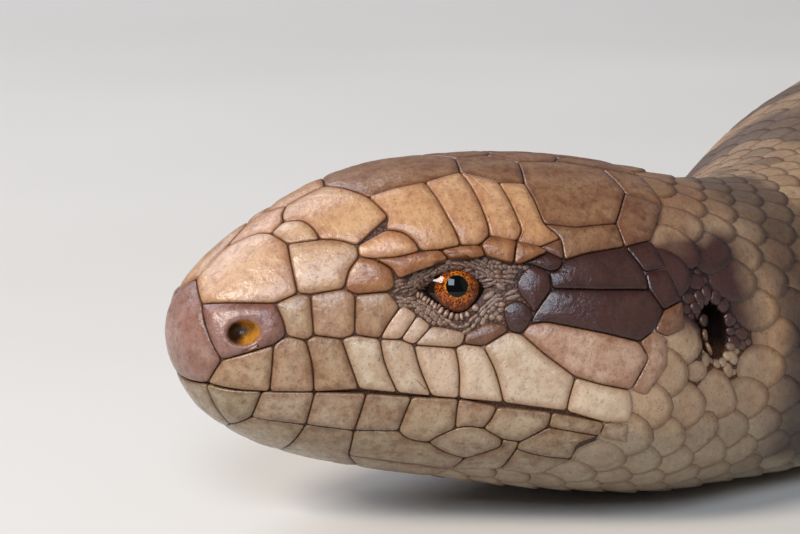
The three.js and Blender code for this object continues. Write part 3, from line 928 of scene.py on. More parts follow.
UNDER = {
    "j2": (5.6, 3.2), "j3": (6.2, 0.0), "j4": (11.2, 4.6),
    "j5": (11.8, 0.0), "j6": (19.5, 5.0), "j7": (20.5, 0.0), "j8": (27.5, 5.6),
    "j9": (27.0, 1.8),
}
SEAM_BENDS = set(
    "n2 n4 n7 c2 k2 k8 k9 k11 s1 s3 s8 b1 b5 b16 o6 l4 p5 p7 p15 u1 u2 u3 u4 u5 u6 u7 u8 "
    "i3 i5 i9 i11 i13 h1 h6 r3".split()
)


# Each shield: its pigment, how far in mm it stands up and how far its middle bows out beyond
# that, and its outline. One on the midline names its left half, from front to rear.
MIDDLE_SHIELDS = (
    ("nose", 0.29, 0.14, "r0 r4 n8 r3 r2 r1 k0"),
    ("brow", 0.30, 0.16, "k1 k2 k3 k7 k5 k6"),
    ("crown", 0.30, 0.14, "k16 k14 k15 k17 k18"),
    ("crown", 0.30, 0.14, "k23 k22 k24 k25"),
    ("chin", 0.27, 0.12, "j0 j1 j2 j3"),
    ("chin", 0.27, 0.12, "j3 j2 i23 i21 j4 j5"),
)
SIDE_SHIELDS = (
    ("snout", 0.30, 0.20, "k0 r1 n2 n3 c1 c2 k4 k3 k2 k1"),
    ("snout", 0.30, 0.20, "k3 k4 k10 k9 k8 k7"),
    ("snout", 0.30, 0.22, "k4 c2 c1 c3 c4 c5 c6 k12 k11 k10"),
    ("brow", 0.30, 0.16, "k6 k5 k7 k8 k9 k10 k11 k12 k13 k14 k16"),
    ("cheek", 0.29, 0.20, "n3 n4 n5 l8 l7 c3 c1"),
    ("cheek", 0.29, 0.20, "c3 l7 l9 l6 l1 c4"),
    ("cheek", 0.29, 0.20, "l1 l6 l5 l4 l3 l2"),
    ("ridge", 0.36, 0.30, "c6 c5 c4 l1 l2 c9 c8 c7"),
    ("brow", 0.37, 0.30, "k12 c6 c7 b1 b2 s4 s3 s2 s1"),
    ("brow", 0.36, 0.26, "s2 s3 s4 b2 b3 b7 s8 s7 k15 k14 k13"),
    ("brow", 0.36, 0.26, "s7 s8 b7 b8 b10 s13 k17 k15"),
    ("brow", 0.35, 0.24, "s13 b10 b11 s14 k20 k17"),
    ("brow", 0.32, 0.22, "s14 b11 b14 t16 k26 k21 k20"),
    ("ridge", 0.74, 0.26, "c7 c8 b6 b5 b4 b3 b2 b1"),
    ("ridge", 0.80, 0.24, "b3 b4 b16 b9 b8 b7"),
    ("ridge", 0.78, 0.26, "b8 b9 b13 b12 b11 b10"),
    ("ridge", 0.66, 0.26, "b12 b13 b15 p1 b14 b11"),
    ("corner", 0.35, 0.24, "b14 p1 p2 t16"),
    ("crown", 0.30, 0.14, "k18 k17 k20 k21 k22 k23"),
    ("crown", 0.30, 0.14, "k22 k21 k26 k27 k28 k29 k30 k24"),
    ("crown", 0.30, 0.14, "k25 k24 k30 k31 k32"),
    ("crown", 0.30, 0.16, "k30 k29 k33 k31"),
    ("lip", 0.29, 0.20, "l3 l4 l5 o3 o2 o1"),
    ("lip", 0.29, 0.18, "o2 o3 o4 o5"),
    ("lip", 0.30, 0.22, "o5 o4 o9 o8 o7 o6"),
    ("corner", 0.33, 0.26, "o7 o8 o10 o13 o12 o11"),
    ("stripe", 0.33, 0.24, "b15 p5 p4 p3 p2 p1"),
    ("stripe", 0.33, 0.30, "p6 p7 p8 p9 p10 p11 p4 p5"),
    ("stripe", 0.32, 0.28, "p14 p13 o13 o14 p12 p10 p9 p15"),
    ("cheek", 0.29, 0.20, "r4 m1 u1 n6 n7 n8"),
    ("cheek", 0.29, 0.20, "n6 u1 m1 m2 u2 l8 n5"),
    ("cheek", 0.29, 0.20, "l8 u2 m2 m3 u3 l9 l7"),
    ("lip", 0.29, 0.20, "l9 u3 m3 m4 u4 l5 l6"),
    ("lip", 0.29, 0.20, "l5 u4 m4 m5 u5 o4 o3"),
    ("lip", 0.29, 0.20, "o4 u5 m5 m6 u6 o9"),
    ("lip", 0.29, 0.20, "o9 u6 m6 m7 u7 o10 o8"),
    ("lip", 0.30, 0.22, "o10 u7 m7 m8 u8 t7 t8 o14 o13"),
    ("lip", 0.29, 0.20, "t7 u8 m8 m9 m10 t24 t5 t6"),
    ("temple", 0.32, 0.24, "o14 t8 t7 t6 t5 t4 t3 t2 t1 p12"),
    ("stripe", 0.32, 0.26, "p10 p12 t1 t2 t3 t12 t11 t10 t9 p11"),
    ("stripe", 0.32, 0.26, "p11 t9 t10 t15 t14 t13 p2 p3 p4"),
    ("crown", 0.32, 0.22, "p2 t13 t14 k28 k27 k26 t16"),
    ("stripe", 0.32, 0.22, "t14 t15 t18 t17"),
    ("stripe", 0.32, 0.22, "t15 t10 t11 t19 t18"),
    ("corner", 0.32, 0.22, "t11 t12 t21 t20 t19"),
    ("temple", 0.33, 0.26, "t3 t4 t5 t23 t22 t21 t12"),
    ("corner", 0.32, 0.18, "k28 t14 t17 k33 k29"),
    ("jaw", 0.27, 0.18, "i22 i23 i21 i20"),
    ("jaw", 0.27, 0.18, "i20 i21 i19 i1"),
    ("jaw", 0.27, 0.18, "i1 i19 i4 i3 i2"),
    ("jaw", 0.27, 0.20, "i2 i3 i4 i9 i8 i7 i6 i5 m6"),
    ("jaw", 0.27, 0.20, "m6 i5 i6 i13 i12 i11 i10"),
    ("jaw", 0.27, 0.20, "i10 i11 i12 i17 i16 i15 i14"),
    ("jaw", 0.27, 0.20, "i14 i15 i18 m9"),
    ("jaw", 0.27, 0.20, "m9 i18 i24 m10"),
    ("chin", 0.27, 0.22, "i8 h1 h2 h3 i17 i12 i13 i6 i7"),
    ("chin", 0.27, 0.22, "i16 h9 h6 h5 h4 i18 i15"),
    ("chin", 0.27, 0.20, "i4 i19 h11 h7 h8 h2 h1 i8 i9"),
    ("chin", 0.27, 0.20, "h2 h8 h10 h9 i16 i17 h3"),
    ("chin", 0.27, 0.20, "h9 h10 h12 h5 h6"),
    ("chin", 0.27, 0.14, "j1 i22 i23 j2"),
    ("chin", 0.27, 0.14, "j5 j4 i21 i19 h11 j6 j7"),
    ("chin", 0.27, 0.14, "j7 j6 h11 h7 h8 j8 j9"),
)
NOSTRIL_SHIELD = ("nose", 0.30, 0.45, "r1 r2 r3 n8 n7 n6 n5 n4 n3 n2")

CORNER_ROUND = 0.5  # how far from a corner its rounding starts, in mm
OUTLINE_STEP = 0.25
EDGE_ROUND = 0.13
SHOULDER = 1.25  # width of the slope from a shield's edge up to its flat
EDGE_RINGS = (0.0, 0.03, 0.07, 0.14, 0.28)
RING_STEP = 0.5
UNDERSIDE = 0.5
NOSTRIL_HALF = (1.65, 1.25)
# Width, as a share of the rim's, and depth in mm of the nostril's wall, from its lip inwards
NOSTRIL_PROFILE = (
    (1.28, 0.04), (1.12, 0.16), (1.0, 0.4), (0.92, 0.8), (0.82, 1.3), (0.66, 1.8), (0.4, 2.2),
)
PATCH = 0.003


def junctions(surface):
    """Every named place of the seams as a point of the skin, in world mm."""
    far = 80.0
    views = (
        (FRONT, lambda a, b: (-far, a, b), (1, 0, 0)),
        (TOP, lambda a, b: (a, b, far), (0, 0, -1)),
        (SIDE, lambda a, b: (a, far, b), (0, -1, 0)),
        (UNDER, lambda a, b: (a, b, -far), (0, 0, 1)),
    )
    found = {}
    for table, start, direction in views:
        for name, (a, b) in table.items():
            origin = head_to_world(start(a, b))
            place, _ = surface.cast([origin], [np.array(direction) @ HEAD_AXES])
            if np.isnan(place[0, 0]):
                raise RuntimeError(f"seam place {name} misses the head")
            found[name] = place[0]
    return found


def rounded_outline(corners, soft):
    """A closed outline through corners, cut round at each and bent smoothly at the soft ones."""
    n = len(corners)
    points = []
    for i in range(n):
        here, before, after = corners[i], corners[i - 1], corners[(i + 1) % n]
        legs = []
        for other in (before, after):
            length = np.linalg.norm(other - here)
            cut = 0.5 * length if soft[i] else min(CORNER_ROUND, 0.36 * length)
            legs.append(here + (other - here) / length * cut)
        for t in np.linspace(0, 1, 8 if soft[i] else 5):
            points.append((1 - t) ** 2 * legs[0] + 2 * t * (1 - t) * here + t * t * legs[1])
    points = np.array(points)
    closed = np.vstack([points, points[:1]])
    lengths = np.linalg.norm(np.diff(closed, axis=0), axis=1)
    along = np.concatenate([[0], np.cumsum(lengths)])
    count = int(np.clip(along[-1] / OUTLINE_STEP, 20, 110))
    want = np.linspace(0, along[-1], count, endpoint=False)
    return np.stack([np.interp(want, along, closed[:, k]) for k in range(3)], 1)


def corner_room(loop, inward):
    """How far each point of an outline can move inwards before its neighbours' ways meet it."""
    after = np.roll(loop, -1, 0) - loop
    step = np.linalg.norm(after, axis=1)
    turn = ((np.roll(inward, -1, 0) - inward) * after).sum(1) / step
    radius = np.where(turn < -1e-4, step / np.maximum(-turn, 1e-4), 9.0)
    around = [np.roll(radius, k) for k in range(-2, 4)]
    return 0.75 * np.min(around, axis=0)


def head_unwrap(points):
    """Places on an unwrap of the head: back along it, and round it from the crown."""
    head = world_to_head(points)
    girth = np.arctan2(head[:, 1], head[:, 2] - 1.5) / math.tau + 0.5
    nose = np.clip((6 - head[:, 0]) / 6, 0, 1) * np.hypot(head[:, 1], head[:, 2] - 4) / 12
    return np.stack([0.16 + (head[:, 0] - 6 * nose) / 80, 0.02 + 0.96 * girth], 1)


def mirrored(points):
    head = world_to_head(points)
    head[:, 1] *= -1
    return head_to_world(head)


def lumps(points):
    """Slight unevenness of living keratin, in mm."""
    return np.array(
        [0.05 * noise_at(Vector(p) * 0.55) + 0.022 * noise_at(Vector(p) * 1.7) for p in points]
    )


def nostril_rings(middle, axes, loop, start):
    """Rings from a shield's face to its nostril's rim and down inside it, with their depths."""
    offsets = loop - middle
    angle = np.arctan2(offsets @ axes[1], offsets @ axes[0])[:, None]
    oval = NOSTRIL_HALF[0] * np.cos(angle) * axes[0] + NOSTRIL_HALF[1] * np.sin(angle) * axes[1]
    wide = middle + oval * 1.5
    rings = [(start + (wide - start) * t, 0.0) for t in (0.3, 0.6, 0.85, 1.0)]
    for share, depth in NOSTRIL_PROFILE:
        rings.append((middle + oval * share, depth))
    return rings, np.cos(angle[:, 0])


def lay_shield(coat, surface, outline, stand, bow, colour, gap, nostril=False):
    """One shield: rings from its outline to its middle, standing up from the skin, with a
    rounded edge, a sloping shoulder, a bowed face and a closed underside."""
    loop, normal = surface.snap(outline)
    centre = loop.mean(0)
    area = np.cross(loop - centre, np.roll(loop, -1, 0) - centre).sum(0)
    if area @ normal.mean(0) < 0:
        loop, normal = loop[::-1], normal[::-1]
    inward = unit(np.cross(normal, np.roll(loop, -1, 0) - np.roll(loop, 1, 0)))
    if nostril:
        side = 1.0 if world_to_head(centre[None])[0, 1] > 0 else -1.0
        centre = head_to_world(np.array(NOSTRIL_PLACE) * [1, side, 1])
    middle, face = surface.snap([centre])
    middle, face = middle[0], face[0]
    reach = np.linalg.norm(loop - middle, axis=1).min()
    tight = min(1.0, reach / 1.4)
    rings, normals = [], []
    room = corner_room(loop, inward)
    for d in EDGE_RINGS:
        p, m = surface.snap(loop + inward * np.minimum(gap / 2 + d * tight, room)[:, None])
        rings.append(p)
        normals.append(m)
    last = rings[-1]
    sunk, toned = [np.zeros(len(loop))] * len(rings), [np.zeros(len(loop))] * len(rings)
    if nostril:
        back = unit(HEAD_AXES[0] - (HEAD_AXES[0] @ face) * face)
        steps, rearward = nostril_rings(middle, (back, np.cross(face, back)), last, last)
        deep_axis = (NOSTRIL_INWARD * [1, side, 1]) @ HEAD_AXES
        for p, depth in steps:
            if depth == 0:
                p, m = surface.snap(p)
            else:
                m = np.repeat(face[None], len(p), 0)
            rings.append(p + deep_axis * max(depth - 0.1, 0))
            normals.append(m)
            sunk.append(np.full(len(p), min(depth, 0.12)))
            toned.append(np.full(len(p), smooth((depth - 0.1) / 0.5)))
    else:
        count = max(2, int(np.linalg.norm(last - middle, axis=1).min() / RING_STEP) + 1)
        for k in range(1, count):
            p, m = surface.snap(middle + (last - middle) * (1 - k / count))
            rings.append(p)
            normals.append(m)
            sunk.append(np.zeros(len(p)))
            toned.append(np.zeros(len(p)))
    flat, away = np.concatenate(rings), np.concatenate(normals)
    rim = np.concatenate(
        [np.linalg.norm(ring[:, None] - rings[0][None], axis=2).min(1) for ring in rings]
    )
    deep = max(rim.max(), 0.5)
    shoulder = min(SHOULDER, deep)
    rise = (stand + 0.15) * np.sqrt(1 - (1 - np.clip(rim / (EDGE_ROUND * tight), 0, 1)) ** 2)
    rise = rise - 0.15 + bow * (1 - (1 - np.clip(rim / shoulder, 0, 1)) ** 2)
    rise = rise + lumps(flat) * smooth(rim / 0.5)
    points = flat + away * (rise - np.concatenate(sunk))[:, None]
    n, total = len(loop), len(rings)
    hub = points[-n:].mean(0) + (deep_axis * 0.1 if nostril else 0)
    base = rings[0] - normals[0] * UNDERSIDE
    hub_low = middle - face * (UNDERSIDE + (2.6 if nostril else 0.1))
    points = np.vstack([points, hub, base, hub_low])
    rims = np.concatenate([rim, [deep], np.zeros(n), [0]])
    inside = np.concatenate(toned)
    tones = np.repeat(np.asarray(colour, float)[None], len(points), 0)
    if nostril:
        # Inside the nostril the lining is amber; its front wall, turned from the light, is darkened as
        # painted shade.
        front = np.tile(smooth((0.15 - rearward) / 0.8), total)
        hollow = blended(
            (None, np.repeat([linear("#c08a30")], len(inside), 0)), (front, linear("#3d2415"))
        )
        tones[: len(inside)] = blended((None, tones[: len(inside)]), (inside, hollow))
        # The bottom of the nostril is painted near black as shade.
        tones[len(inside)] = linear("#2a170d")
        rims[: len(inside)] = np.maximum(rims[: len(inside)], inside * 0.9)
    around = np.arange(n)
    following = (around + 1) % n
    top = np.concatenate([
        np.stack([k * n + around, k * n + following, (k + 1) * n + following, (k + 1) * n + around], 1)
        for k in range(total - 1)
    ])
    under = total * n + 1
    wall = np.stack([under + around, under + following, following, around], 1)
    cap = np.stack([(total - 1) * n + around, (total - 1) * n + following,
                    np.full(n, total * n)], 1)
    floor = np.stack([under + following, under + around, np.full(n, under + n)], 1)
    corners = np.concatenate([top.ravel(), cap.ravel(), wall.ravel(), floor.ravel()])
    sizes = np.concatenate([np.full(len(top), 4), np.full(n, 3), np.full(n, 4), np.full(n, 3)])
    places = head_unwrap(points)[corners]
    hidden = 7 * n
    spare = head_unwrap(middle[None])[0] * [0.06, 1]
    places[-hidden:] = spare + hidden_patch(n)
    coat.add(points, corners, sizes, tones, rims, places)


def hidden_patch(n):
    """A small shared patch of the unwrap for n wall faces and n floor faces."""
    square = np.array([(0, 0), (1, 0), (1, 1), (0, 1)]) * PATCH
    triangle = np.array([(0, 0), (1, 0), (0.5, 1)]) * PATCH
    return np.concatenate([np.tile(square, (n, 1)), np.tile(triangle, (n, 1))])


class SKINK_OT_head_shields(Operator):
    """Lays the shields of the head one by one along their real seams"""

    bl_idname = "skink.head_shields"
    bl_label = "Head shields"

    def execute(self, context):
        colours = context.scene.skink_colours
        gap = context.scene.skink_coat.seam / MM
        surface = surface_of("head_form")
        places = junctions(surface)
        coats = {"middle": Coat(), "left": Coat(), "right": Coat()}
        random = np.random.RandomState(7)
        for shield in (*MIDDLE_SHIELDS, *SIDE_SHIELDS, NOSTRIL_SHIELD):
            tone, stand, bow, names = shield
            corners = [places[name] for name in names.split()]
            soft = [name in SEAM_BENDS for name in names.split()]
            middle = shield in MIDDLE_SHIELDS
            if middle:
                corners = corners + [mirrored(p[None])[0] for p in corners[-2:0:-1]]
                soft = soft + soft[-2:0:-1]
            outline = rounded_outline(np.array(corners), soft)
            tone = np.array(getattr(colours, tone))
            for word in ("middle",) if middle else ("left", "right"):
                shade = tone * (1 + 0.02 * random.uniform(-1, 1, 3))
                shade = shade * (1 + 0.07 * random.uniform(-1, 1))
                lay_shield(
                    coats[word], surface, mirrored(outline) if word == "right" else outline,
                    stand, bow, shade, gap, shield is NOSTRIL_SHIELD,
                )
        material = keratin_scales("stained keratin shield", 0.65, 0.28)
        for word, coat in coats.items():
            settle(coat.to_object(f"head_shields_{word}", material))
        return {"FINISHED"}


HEAD_SHIELDS = ["head_shields_middle", "head_shields_left", "head_shields_right"]


# Eyes and eyelids

IRIS_RADIUS, IRIS_CENTRE = 2.5, (-0.11, -0.2)
PUPIL_RADIUS, PUPIL_CENTRE = 1.15, (-0.18, 0.08)


class SKINK_OT_eyes(Operator):
    """Models the eyeballs with their bulging corneas"""

    bl_idname = "skink.eyes"
    bl_label = "Eyes"

    def execute(self, context):
        gaze, _, _ = eye_frame()
        material = wet_eye()
        for word, side in (("left", 1), ("right", -1)):
            mirror = np.array([1, side, 1])
            centre = head_to_world(np.array(EYE_CENTRE) * mirror)
            axis = (gaze * mirror) @ HEAD_AXES
            deselect()
            bpy.ops.mesh.primitive_uv_sphere_add(
                segments=64, ring_count=56, radius=EYE_RADIUS * MM, location=(0, 0, 0)
            )
            eye = context.object
            eye.name = eye.data.name = f"eyeball_{word}"
            p = points_of(eye)
            angle = np.arccos(np.clip(p[:, 2] / EYE_RADIUS, -1, 1))
            p = p * (1 + 0.2 / EYE_RADIUS * (1 - smooth(angle / math.radians(38))))[:, None]
            turn = Vector((0, 0, 1)).rotation_difference(Vector(axis)).to_matrix()
            p = p @ np.array(turn).T
            set_points(eye, p + centre)
            across, high, ahead = over_eye((p @ HEAD_AXES.T) * mirror)
            for name, (a, b) in (("reach", IRIS_CENTRE), ("pupil", PUPIL_CENTRE)):
                far = np.where(ahead > 0, np.hypot(across - a, high - b), 9).astype(np.float32)
                eye.data.attributes.new(name, "FLOAT", "POINT").data.foreach_set("value", far)
            eye.data.polygons.foreach_set("use_smooth", np.ones(len(eye.data.polygons), bool))
            eye.data.materials.append(material)
            settle(eye, [f"eye_{word}"])
        return {"FINISHED"}


# Rows of beads on the lids, outwards from the opening. Each row: its distance from the opening,
# a bead's half length along the row, half width across it and height, how far it stands from
# the next one as a share of its length, and its pigment.
UPPER_ROWS = (
    (0.12, 0.60, 0.21, 0.23, 0.5, "rim"), (0.50, 0.50, 0.16, 0.08, 0.8, "fold"),
    (0.85, 0.50, 0.19, 0.13, 0.7, "fold"), (1.26, 0.42, 0.21, 0.09, 0.75, "fold"),
    (1.70, 0.36, 0.24, 0.08, 0.8, "fold"), (2.2, 0.32, 0.27, 0.08, 0.85, "fold"),
    (2.7, 0.32, 0.29, 0.08, 0.85, "fold"),
)
LOWER_ROWS = (
    (0.25, 0.21, 0.40, 0.28, 1.3, "margin"), (0.84, 0.42, 0.21, 0.11, 0.75, "lid"),
    (1.22, 0.36, 0.22, 0.08, 0.8, "lid"), (1.64, 0.32, 0.25, 0.07, 0.8, "lid"),
    (2.12, 0.32, 0.28, 0.07, 0.85, "lid"), (2.62, 0.33, 0.30, 0.08, 0.85, "lid"),
    (3.15, 0.34, 0.32, 0.08, 0.85, "lid"),
)
REAR_HALF = 0.75  # half length of the beads behind the eye
REAR_TONE = np.array(linear("#7b655c"))


def bead_template(segments, rings):
    """A small ball, whose points are turned into a bead where it is laid."""
    deselect()
    bpy.ops.mesh.primitive_uv_sphere_add(segments=segments, ring_count=rings, radius=1)
    return taken_mesh(bpy.context.object)


def taken_mesh(obj):
    """The points, corners and face sizes of an object, which is then removed."""
    mesh = obj.data
    points = np.array([v.co for v in mesh.vertices])
    corners = np.array([i for f in mesh.polygons for i in f.vertices])
    sizes = np.array([len(f.vertices) for f in mesh.polygons])
    bpy.data.objects.remove(obj)
    return points, corners, sizes


def lay_bead(coat, template, place, normal, along, halves, colour, where=None):
    """Lays one bead with its half length, half width and height, and its place in the unwrap."""
    ball, corners, sizes = template
    along = unit(along - (along @ normal) * normal)
    axes = np.array([along, np.cross(normal, along), normal])
    points = place + (ball * halves) @ axes
    rim = np.clip(ball[:, 2] + 0.1, 0, 1) * 0.9
    patch = (ball[:, :2] * 0.5 + 0.5) * PATCH
    where = head_unwrap(place[None])[0] if where is None else where
    places = (where + patch)[corners]
    coat.add(points, corners, sizes, colour, rim, places)


def lid_loop(away, count=240):
    """Places over the eyeball at a distance outside the opening, starting in front of it."""
    turn = np.linspace(0, math.tau, count, endpoint=False)
    aim_back, aim_up = -np.cos(turn), np.sin(turn)
    middle_back = (LID_FRONT[0] + LID_REAR[0]) / 2
    middle_up = (LID_FRONT[1] + LID_REAR[1]) / 2
    low, high = np.zeros(count), np.full(count, 7.5)
    for _ in range(30):
        half = (low + high) / 2
        outside = -lid_gap(middle_back + aim_back * half, middle_up + aim_up * half) > away
        low, high = np.where(outside, low, half), np.where(outside, half, high)
    return middle_back + aim_back * low, middle_up + aim_up * low, turn


def open_at(trees, place, normal, gap):
    """Whether a place of the skin has no shield over it or nearer than the gap."""
    place, normal = Vector(place), Vector(normal)
    for tree in trees:
        if tree.find_nearest(place, 3.0)[0] is None:
            continue
        if tree.find_nearest(place)[3] < gap or tree.ray_cast(place, normal, 2.0)[0] is not None:
            return False
    return True


class SKINK_OT_eyelids(Operator):
    """Lays rows of beads round the opening of each eye, out to the shields"""

    bl_idname = "skink.eyelids"
    bl_label = "Eyelids"

    def execute(self, context):
        colours = context.scene.skink_colours
        surface = surface_of("head_form")
        trees = [surface_of(name).tree for name in HEAD_SHIELDS]
        ball = bead_template(10, 7)
        random = np.random.RandomState(5)
        coat = Coat()
        for side in (1, -1):
            mirror = np.array([1, side, 1])
            eye = head_to_world(np.array(EYE_CENTRE) * mirror)
            for rows, upper in ((UPPER_ROWS, True), (LOWER_ROWS, False)):
                for row, (away, half_long, half_wide, high, space, tone) in enumerate(rows):
                    across, up, turn = lid_loop(away)
                    aim = (on_eye(across, up) * mirror) @ HEAD_AXES
                    start = eye + aim * 16
                    places, normals = surface.cast(start, -aim, 12.5)
                    part = (turn < math.pi) if upper else (turn >= math.pi)
                    part &= ~np.isnan(places[:, 0])
                    places, normals, turn = places[part], unit(normals[part]), turn[part]
                    lengths = np.linalg.norm(np.diff(places, axis=0), axis=1)
                    reach = np.concatenate([[0], np.cumsum(lengths)])
                    rear = smooth((-np.cos(turn) - 0.55) / 0.3) * (row < 3)
                    at = half_long * random.uniform(0.4, 1.4)
                    while at < reach[-1]:
                        here = int(np.clip(np.searchsorted(reach, at), 1, len(reach) - 2))
                        long = half_long + (REAR_HALF - half_long) * rear[here]
                        long = long * random.uniform(0.8, 1.25)
                        along = places[here + 1] - places[here - 1]
                        beside = unit(np.cross(normals[here], along))
                        wander = (0.0 if row == 0 else 0.09) * random.uniform(-1, 1)
                        place = places[here] + normals[here] * 0.02 + beside * wander
                        if open_at(trees, place, normals[here], 0.14):
                            luck = random.uniform(-1, 1)
                            shade = np.array(getattr(colours, tone)) * (1 + 0.25 * luck)
                            shade = shade + (REAR_TONE - shade) * rear[here] * 0.8
                            lay_bead(
                                coat, ball, place, normals[here], along,
                                (long, half_wide * random.uniform(0.85, 1.2), high), shade,
                            )
                        at += 2 * long * space
        beads = coat.to_object("eyelid_beads", lid_grain())
        settle(beads)
        return {"FINISHED"}


# Overlapping scales


FILLET = 4.5  # how far the skin swells out at most where a leg joins the trunk


class Sleeve:
    """The surface round a length of the body as a grid: along it, and round it from the top.
    From one of its steps on, a second surface counts too where it lies close over the first."""

    def __init__(self, surface, centres, backs, ups, reaches, spacing=1.0, around=96, over=None):
        self.steps, self.around, self.spacing = len(centres), around, spacing
        angles = np.linspace(-math.pi, math.pi, around + 1)
        shares = angles / math.tau
        shape = (self.steps, around + 1)
        self.places, self.normals = np.empty((*shape, 3)), np.empty((*shape, 3))
        self.found, self.girth = np.ones(shape), np.empty(self.steps)
        for i, (c, b, u, reach) in enumerate(zip(centres, backs, ups, reaches)):
            left = np.cross(b, u)
            rays = np.cos(angles)[:, None] * u + np.sin(angles)[:, None] * left
            p, n = surface.cast(np.repeat(c[None], len(rays), 0), rays, reach)
            missed = np.isnan(p[:, 0])
            p[missed], n[missed] = (c + rays * reach / 1.4)[missed], rays[missed]
            if over is not None and i >= over[1]:
                q, m = over[0].cast(np.repeat(c[None], len(rays), 0), rays, reach)
                swell = np.linalg.norm(q - c, axis=1) - np.linalg.norm(p - c, axis=1)
                swollen = (swell > -3) & (swell < FILLET)
                p[swollen], n[swollen] = q[swollen], m[swollen]
            lengths = np.linalg.norm(np.diff(p, axis=0), axis=1)
            along = np.concatenate([[0], np.cumsum(lengths)])
            middle = along[around // 2]
            share = np.where(
                along < middle,
                -0.5 * (middle - along) / middle,
                0.5 * (along - middle) / max(along[-1] - middle, 1e-6),
            )
            self.girth[i] = along[-1]
            self.found[i] = np.interp(shares, share, ~missed)
            for k in range(3):
                self.places[i, :, k] = np.interp(shares, share, p[:, k])
                self.normals[i, :, k] = np.interp(shares, share, n[:, k])

    def at(self, along, share):
        """Places, normals and whether they were found, at steps along and shares round it."""
        along = np.clip(along, 0, self.steps - 1.001)
        share = (share + 0.5) % 1.0 * self.around
        i, j = along.astype(int), np.minimum(share.astype(int), self.around - 1)
        f, g = (along - i)[:, None], (share - j)[:, None]
        out = []
        for grid in (self.places, self.normals, self.found[..., None]):
            low = grid[i, j] * (1 - g) + grid[i, j + 1] * g
            high = grid[i + 1, j] * (1 - g) + grid[i + 1, j + 1] * g
            out.append(low * (1 - f) + high * f)
        return out[0], unit(out[1]), out[2].min() > 0.99


def scale_template(sides, rings):
    """A rounded scale made flat, with rings for its rounded edge and an underside: x runs across
    from -1 to 1, y from its root at 0 to its free edge at 1."""
    deselect()
    bpy.ops.mesh.primitive_circle_add(vertices=sides, radius=1.0, fill_type="NGON")
    obj = bpy.context.object
    edit(obj, "FACE")
    bpy.ops.mesh.select_all(action="SELECT")
    bpy.ops.mesh.extrude_region_move(TRANSFORM_OT_translate={"value": (0, 0, 0.2)})
    for inset in rings:
        bpy.ops.mesh.inset(thickness=inset, depth=0)
    bpy.ops.mesh.poke()
    bpy.ops.object.mode_set(mode="OBJECT")
    p, corners, sizes = taken_mesh(obj)
    under = p[:, 2] < 0.1
    x, y = p[:, 0], p[:, 1]
    hidden = np.repeat([under[f].any() for f in np.split(corners, np.cumsum(sizes)[:-1])], sizes)
    patch = p[corners][:, :2] * np.where(hidden, 0.16, 0.5)[:, None] * PATCH
    return {
        "x": x * (1 - 0.22 * smooth(-y)),
        "y": 0.5 + 0.5 * y * (1 + 0.10 * (1 - np.abs(x)) * (y > 0)),
        "under": under,
        "rim": np.clip(np.where(under, 0.0, 1 - np.hypot(x, y)), 0, 1),
        "corners": corners,
        "sizes": sizes,
        "patch": patch + np.where(hidden, PATCH * 1.1, 0)[:, None] * [1, 0],
    }


def lay_rings(coat, sleeve, template, rings, style, keep=None):
    """Lays rings of scales on a sleeve. Each ring says its place along the sleeve, the length of
    sleeve to the next ring, its number of scales and whether it starts half a scale round."""
    n = len(template["x"])
    random = np.random.RandomState(style["seed"])
    x, y, tops = template["x"], template["y"], ~template["under"]
    root, tip = y.argmin(), y.argmax()
    bowed = style["bow"] * (1 - x ** 2) * smooth(y / 0.4)
    slope = style["root"] + (style["stand"] - style["root"]) * y
    for along, step, count, shift in rings:
        girth = np.interp(along, np.arange(sleeve.steps), sleeve.girth)
        for k in range(count):
            share = (k + (0.5 if shift else 0.0)) / count
            share = share - 1 if share > 0.5 else share
            wide = style["wide"] * girth / count * 0.5 * (1 + 0.04 * random.uniform(-1, 1))
            long = style["long"] * 2 * step * (1 + 0.04 * random.uniform(-1, 1))
            luck, tilt = random.uniform(-1, 1), random.uniform(-1, 1)
            at = along + (y - 0.72) * long
            w = share + x * wide / girth
            base, normal, found = sleeve.at(at, w)
            if np.linalg.norm(base[tip] - base[root]) < 0.45 * long * sleeve.spacing:
                continue
            if not found or (keep is not None and not keep(base, normal, y, along, share)):
                continue
            rim = template["rim"] * min(wide, long * sleeve.spacing / 2)
            edge = np.sqrt(1 - (1 - np.clip(rim / style["edge"], 0, 1)) ** 2)
            top = slope + bowed - style["thick"] * (1 - edge) + 0.03 * tilt * (x + y)
            rise = np.where(tops, top, slope - style["thick"] - 0.05)
            points = base + normal * rise[:, None]
            if "over" in style:
                spots, ups = style["over"].snap(points)
                high = ((points - spots) * ups).sum(1)
                inner = tops & (template["rim"] > 0.15) & (y > 0.35)
                low = (rise - high)[inner].max()
                points = points + normal * (max(low * 1.5, 0) * smooth(y / 0.35))[:, None]
            colour = style["colour"](at, w, np.full(n, luck), base)
            places = style["unwrap"](along, share) + template["patch"]
            coat.add(points, template["corners"], template["sizes"], colour, rim, places)


def ring_plan(sleeve, start, end, count_at, ratio=0.57):
    """Rings of scales from start to end, each with its number of scales, as far apart as the
    girth and that number ask."""
    rings, at, shift = [], start, False
    while at < end:
        girth = np.interp(at, np.arange(sleeve.steps), sleeve.girth)
        count = max(3, int(count_at(at)))
        step = ratio * girth / (2 * count) / sleeve.spacing
        rings.append((at, step, count, shift))
        at += step
        shift = not shift
    return rings


BODY_STYLE = {
    "wide": 0.84, "long": 1.5, "root": 0.0, "stand": 0.42, "bow": 0.14, "thick": 0.26,
    "edge": 0.3, "seed": 3,
}
